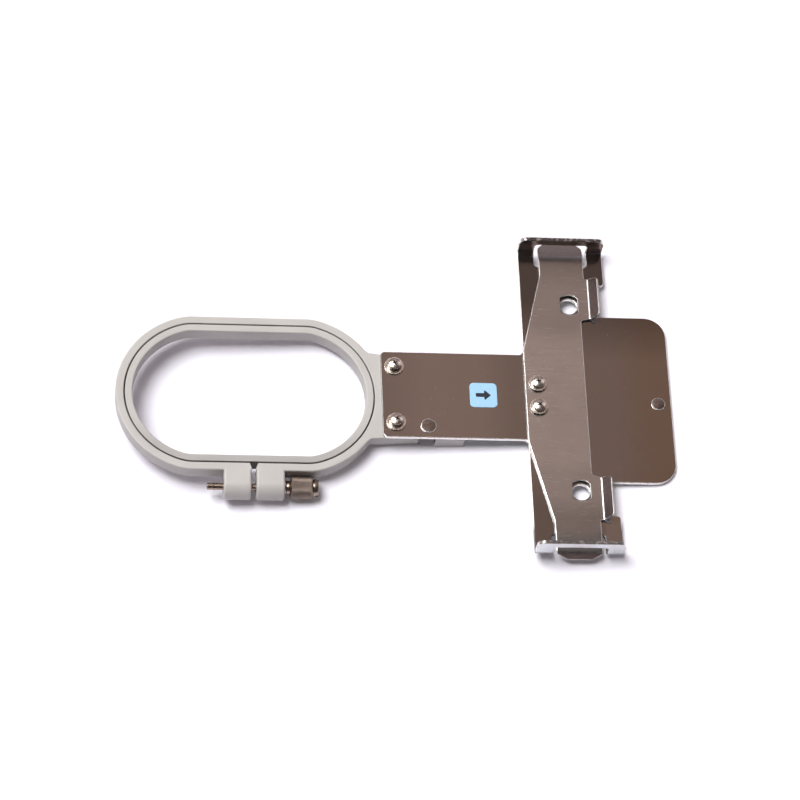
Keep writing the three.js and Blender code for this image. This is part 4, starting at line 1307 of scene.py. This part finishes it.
class HOOP_OT_rings(bpy.types.Operator):
    """Makes the outer and inner hoops"""

    bl_idname = "embroidery_hoop.rings"
    bl_label = "Hoops"

    def execute(self, context):
        sizes = context.scene.hoop_sizes
        piece("outer_ring", outer_hoop_mesh(sizes), "carrier", ["outer_hoop"],
              "plastic", 32, "crevice")
        inner = band_mesh(
            INNER_OUT_R - SEAM_EASE, INNER_OUT_R - INNER_WALL, sizes.seam_edge / MM, sizes.ring_edge / MM)
        piece("inner_ring", inner, "inner_ring", ["inner_hoop"], "inner_plastic", 32)
        return {"FINISHED"}


class HOOP_OT_clamp(bpy.types.Operator):
    """Makes the thumb screw, its washer and the finish of its nut"""

    bl_idname = "embroidery_hoop.clamp"
    bl_label = "Clamp"

    def execute(self, context):
        screw, knurl = thumb_screw_mesh(context.scene.hoop_sizes)
        piece("thumb_screw_body", screw, "clamp_screw", ["thumb_screw"], "turned", 30)
        piece("thumb_screw_knurl", knurl, "clamp_screw", [], "knurled", 20)
        piece("clamp_thrust_washer", ring_mesh("thrust_washer", BORE_R, THIN_EDGE, "X"), "clamp_slide",
              ["thrust_washer"], "plated")
        dress("clamp_nut", "plated")
        return {"FINISHED"}


class HOOP_OT_screws(bpy.types.Operator):
    """Makes the pan screws with their washers and nuts"""

    bl_idname = "embroidery_hoop.screws"
    bl_label = "Screws and washers"

    def execute(self, context):
        for node, turn in (
                ("hoop_screw_far", 0.35), ("hoop_screw_near", 1.1),
                ("spring_screw_far", 0.15), ("spring_screw_near", 0.7)):
            piece(f"{node}_pan", pan_screw_mesh(node, turn), "carrier", [node],
                  "plated", 30, "recess")
        for word, turn in (("far", 2.6), ("near", 0.6)):
            node = f"hoop_lock_washer_{word}"
            piece(f"{node}_split", lock_washer_mesh(node, turn), "carrier", [node],
                  "turned", 30)
            for node, bore, edge in (
                    (f"hoop_flat_washer_{word}", BORE_R, 0.18),
                    (f"spring_washer_{word}", BORE_R, 0.22),
                    (f"clinch_nut_{word}", SHANK_R, 0.25)):
                piece(f"{node}_turned", ring_mesh(node, bore, edge), "carrier", [node],
                      "plated", 30)
            dress(f"hoop_insert_{word}", "brass")
        return {"FINISHED"}


class HOOP_OT_pins(bpy.types.Operator):
    """Makes the two riveted pins"""

    bl_idname = "embroidery_hoop.pins"
    bl_label = "Pins"

    def execute(self, context):
        for node, shank, foot in (("locating_pin", 2.0, 2.0), ("tongue_pin", 1.7, 2.5)):
            piece(f"{node}_rivet", pin_mesh(node, shank, foot), "carrier", [node],
                  "staked", 30, "carrier_cut")
        return {"FINISHED"}


class HOOP_OT_label(bpy.types.Operator):
    """Makes the sticker and its printed arrow"""

    bl_idname = "embroidery_hoop.label"
    bl_label = "Sticker"

    def execute(self, context):
        low, high = box_mm("size_label")
        spot = middle_mm("size_label")
        corners = [(low.x, low.y), (high.x, low.y), (high.x, high.y), (low.x, high.y)]
        outline = rounded([(x, y, LABEL_CORNER) for x, y in corners])
        film = plate(outline, [], 0, high.z, context.scene.hoop_sizes.label_edge / MM)
        piece("sticker_film", finished(film), "carrier", ["size_label"], "label")
        outline = arrow_outline(spot.x, spot.y, ARROW_LONG, ARROW_WIDE)
        arrow = plate(outline, [], high.z - 0.05, high.z + INK, INK / 2, 1)
        piece("sticker_arrow", finished(arrow), "carrier", [], "ink")
        return {"FINISHED"}


def dress(node, finish):
    """Gives a CAD node that stays in sight a finish."""
    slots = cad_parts[node].material_slots
    if not slots:
        raise RuntimeError(f"{node} has no material slot")
    for slot in slots:
        slot.material = finish_of(finish)


# Stage, in metres
CAMERA_PLACE = (-0.241587, -0.613486, 1.132392)
CAMERA_RIGHT = (0.993364, -0.034271, 0.109788)
CAMERA_UP = (-0.021809, 0.881126, 0.472379)
CAMERA_BACK = (-0.112926, -0.471639, 0.874531)
FLOOR_HALF = 25.0
FLOOR_GAP = 0.0001
FLOOR_COLOUR = (0.93, 0.915, 1.0)
FLOOR_GLOW = 0.06
FLOOR_REST = (TAB_END * MM, 0.0, (RING_TOP - TAB_THICK) * MM)
SENSOR = 36
FAR_CLIP = 100
SUN_FROM = (-0.41, 0.17, 0.896)

# Patches of the studio over its dark ceiling: direction, cosines where it is full and where it ends, colour
CEILING = (0.072, 0.053, 0.05)
PATCHES = (
    ((0.1, 0.76, 0.642), 0.985, 0.9, (0.35, 0.285, 0.29)),
    ((0.12, 0.468, 0.875), 1.0, 0.975, (0.305, 0.182, 0.13)),
    ((0.7, 0.46, 0.545), 0.985, 0.93, (0.85, 0.8, 0.85)),
    (tuple(Vector(SUN_FROM).normalized()), 0.97, 0.9, (1.2, 1.1, 1.0)),
    ((0.0, 0.0, 1.0), 0.05, 0.4, (0.19, 0.16, 0.21)),
)


class HOOP_OT_stage(bpy.types.Operator):
    """Makes the floor, the light and the camera"""

    bl_idname = "embroidery_hoop.stage"
    bl_label = "Stage"

    def execute(self, context):
        scene = context.scene
        stage = scene.hoop_stage
        scene.view_settings.view_transform = "Standard"
        make_floor(scene, stage)
        make_world(scene)
        sun = bpy.data.lights.new("soft_key", "SUN")
        sun.energy = stage.sun_strength
        sun.angle = stage.sun_angle
        lamp = bpy.data.objects.new("soft_key", sun)
        lamp.rotation_euler = Vector(SUN_FROM).to_track_quat("Z", "Y").to_euler()
        scene.collection.objects.link(lamp)
        camera = bpy.data.cameras.new("photo_camera")
        camera.sensor_width = SENSOR
        camera.lens = stage.lens
        camera.clip_end = FAR_CLIP
        holder = bpy.data.objects.new("photo_camera", camera)
        turn = Matrix((CAMERA_RIGHT, CAMERA_UP, CAMERA_BACK)).transposed().to_4x4()
        holder.matrix_world = Matrix.Translation(CAMERA_PLACE) @ turn
        scene.collection.objects.link(holder)
        scene.camera = holder
        return {"FINISHED"}


def make_floor(scene, stage):
    """A pale floor under the tab's end and the tongue's stud, which takes the object's shadow."""
    slope = math.tan(stage.floor_tilt)
    mesh = bpy.data.meshes.new("pale_floor")
    x0, y0, z0 = FLOOR_REST
    corners = [(-1, -1), (1, -1), (1, 1), (-1, 1)]
    drop = z0 - FLOOR_GAP
    places = [(x0 + a * FLOOR_HALF, y0 + b * FLOOR_HALF, drop + a * FLOOR_HALF * slope) for a, b in corners]
    mesh.from_pydata(places, [], [(0, 1, 2, 3)])
    floor = bpy.data.objects.new("pale_floor", mesh)
    scene.collection.objects.link(floor)
    material = bpy.data.materials.new("pale_floor")
    material.use_nodes = True
    tree = material.node_tree
    tree.nodes.remove(tree.nodes["Principled BSDF"])
    diffuse = add_node(tree, "ShaderNodeBsdfDiffuse", {"Color": (*FLOOR_COLOUR, 1)})
    glow = add_node(tree, "ShaderNodeEmission", {"Strength": 1.0})
    path = tree.nodes.new("ShaderNodeLightPath").outputs
    seen = path["Is Camera Ray"]
    for ray in ("Is Glossy Ray", "Is Transmission Ray"):
        seen = add_node(tree, "ShaderNodeMath", {0: seen, 1: path[ray]}, operation="MAXIMUM")
    share = add_node(tree, "ShaderNodeMath", {0: seen, 1: FLOOR_GLOW}, operation="MULTIPLY")
    surface = add_node(tree, "ShaderNodeMixShader", {0: share, 1: diffuse, 2: glow})
    tree.links.new(surface, tree.nodes["Material Output"].inputs["Surface"])
    mesh.materials.append(material)


def make_world(scene):
    """A dim studio: a dark ceiling with soft patches of light, and paler walls."""
    world = bpy.data.worlds.new("studio")
    scene.world = world
    world.use_nodes = True
    tree = world.node_tree
    place = tree.nodes.new("ShaderNodeTexCoord").outputs["Generated"]
    colour = CEILING
    for direction, inner, outer, light in PATCHES:
        near = add_node(
            tree, "ShaderNodeVectorMath", {0: place, 1: direction}, "Value", operation="DOT_PRODUCT")
        share = add_node(
            tree, "ShaderNodeMapRange", {0: near, 1: outer, 2: inner}, interpolation_type="SMOOTHSTEP")
        colour = mixed(tree, share, colour, light)
    background = tree.nodes["Background"].inputs
    tree.links.new(colour, background["Color"])
    background["Strength"].default_value = 1.0


class HOOP_PT_panel(bpy.types.Panel):
    """Lists the steps and the sizes"""

    bl_label = "Embroidery hoop"
    bl_idname = "HOOP_PT_panel"
    bl_space_type = "VIEW_3D"
    bl_region_type = "UI"
    bl_category = "Hoop"

    def draw(self, context):
        for step in STEPS:
            self.layout.operator(step.bl_idname)
        for group in (context.scene.hoop_sizes, context.scene.hoop_colours, context.scene.hoop_stage):
            box = self.layout.box()
            for name in group.__annotations__:
                box.prop(group, name)


STEPS = (
    HOOP_OT_carrier, HOOP_OT_spring, HOOP_OT_rings, HOOP_OT_clamp,
    HOOP_OT_screws, HOOP_OT_pins, HOOP_OT_label, HOOP_OT_stage,
)
CLASSES = (HoopSizes, HoopColours, StageSettings) + STEPS + (HOOP_PT_panel,)


def register():
    for item in CLASSES:
        bpy.utils.register_class(item)
    bpy.types.Scene.hoop_sizes = PointerProperty(type=HoopSizes)
    bpy.types.Scene.hoop_colours = PointerProperty(type=HoopColours)
    bpy.types.Scene.hoop_stage = PointerProperty(type=StageSettings)


def unregister():
    del bpy.types.Scene.hoop_stage
    del bpy.types.Scene.hoop_colours
    del bpy.types.Scene.hoop_sizes
    for item in reversed(CLASSES):
        bpy.utils.unregister_class(item)


def main():
    register()
    bpy.ops.embroidery_hoop.carrier()
    bpy.ops.embroidery_hoop.spring()
    bpy.ops.embroidery_hoop.rings()
    bpy.ops.embroidery_hoop.clamp()
    bpy.ops.embroidery_hoop.screws()
    bpy.ops.embroidery_hoop.pins()
    bpy.ops.embroidery_hoop.label()
    bpy.ops.embroidery_hoop.stage()


if __name__ == "__main__":
    main()
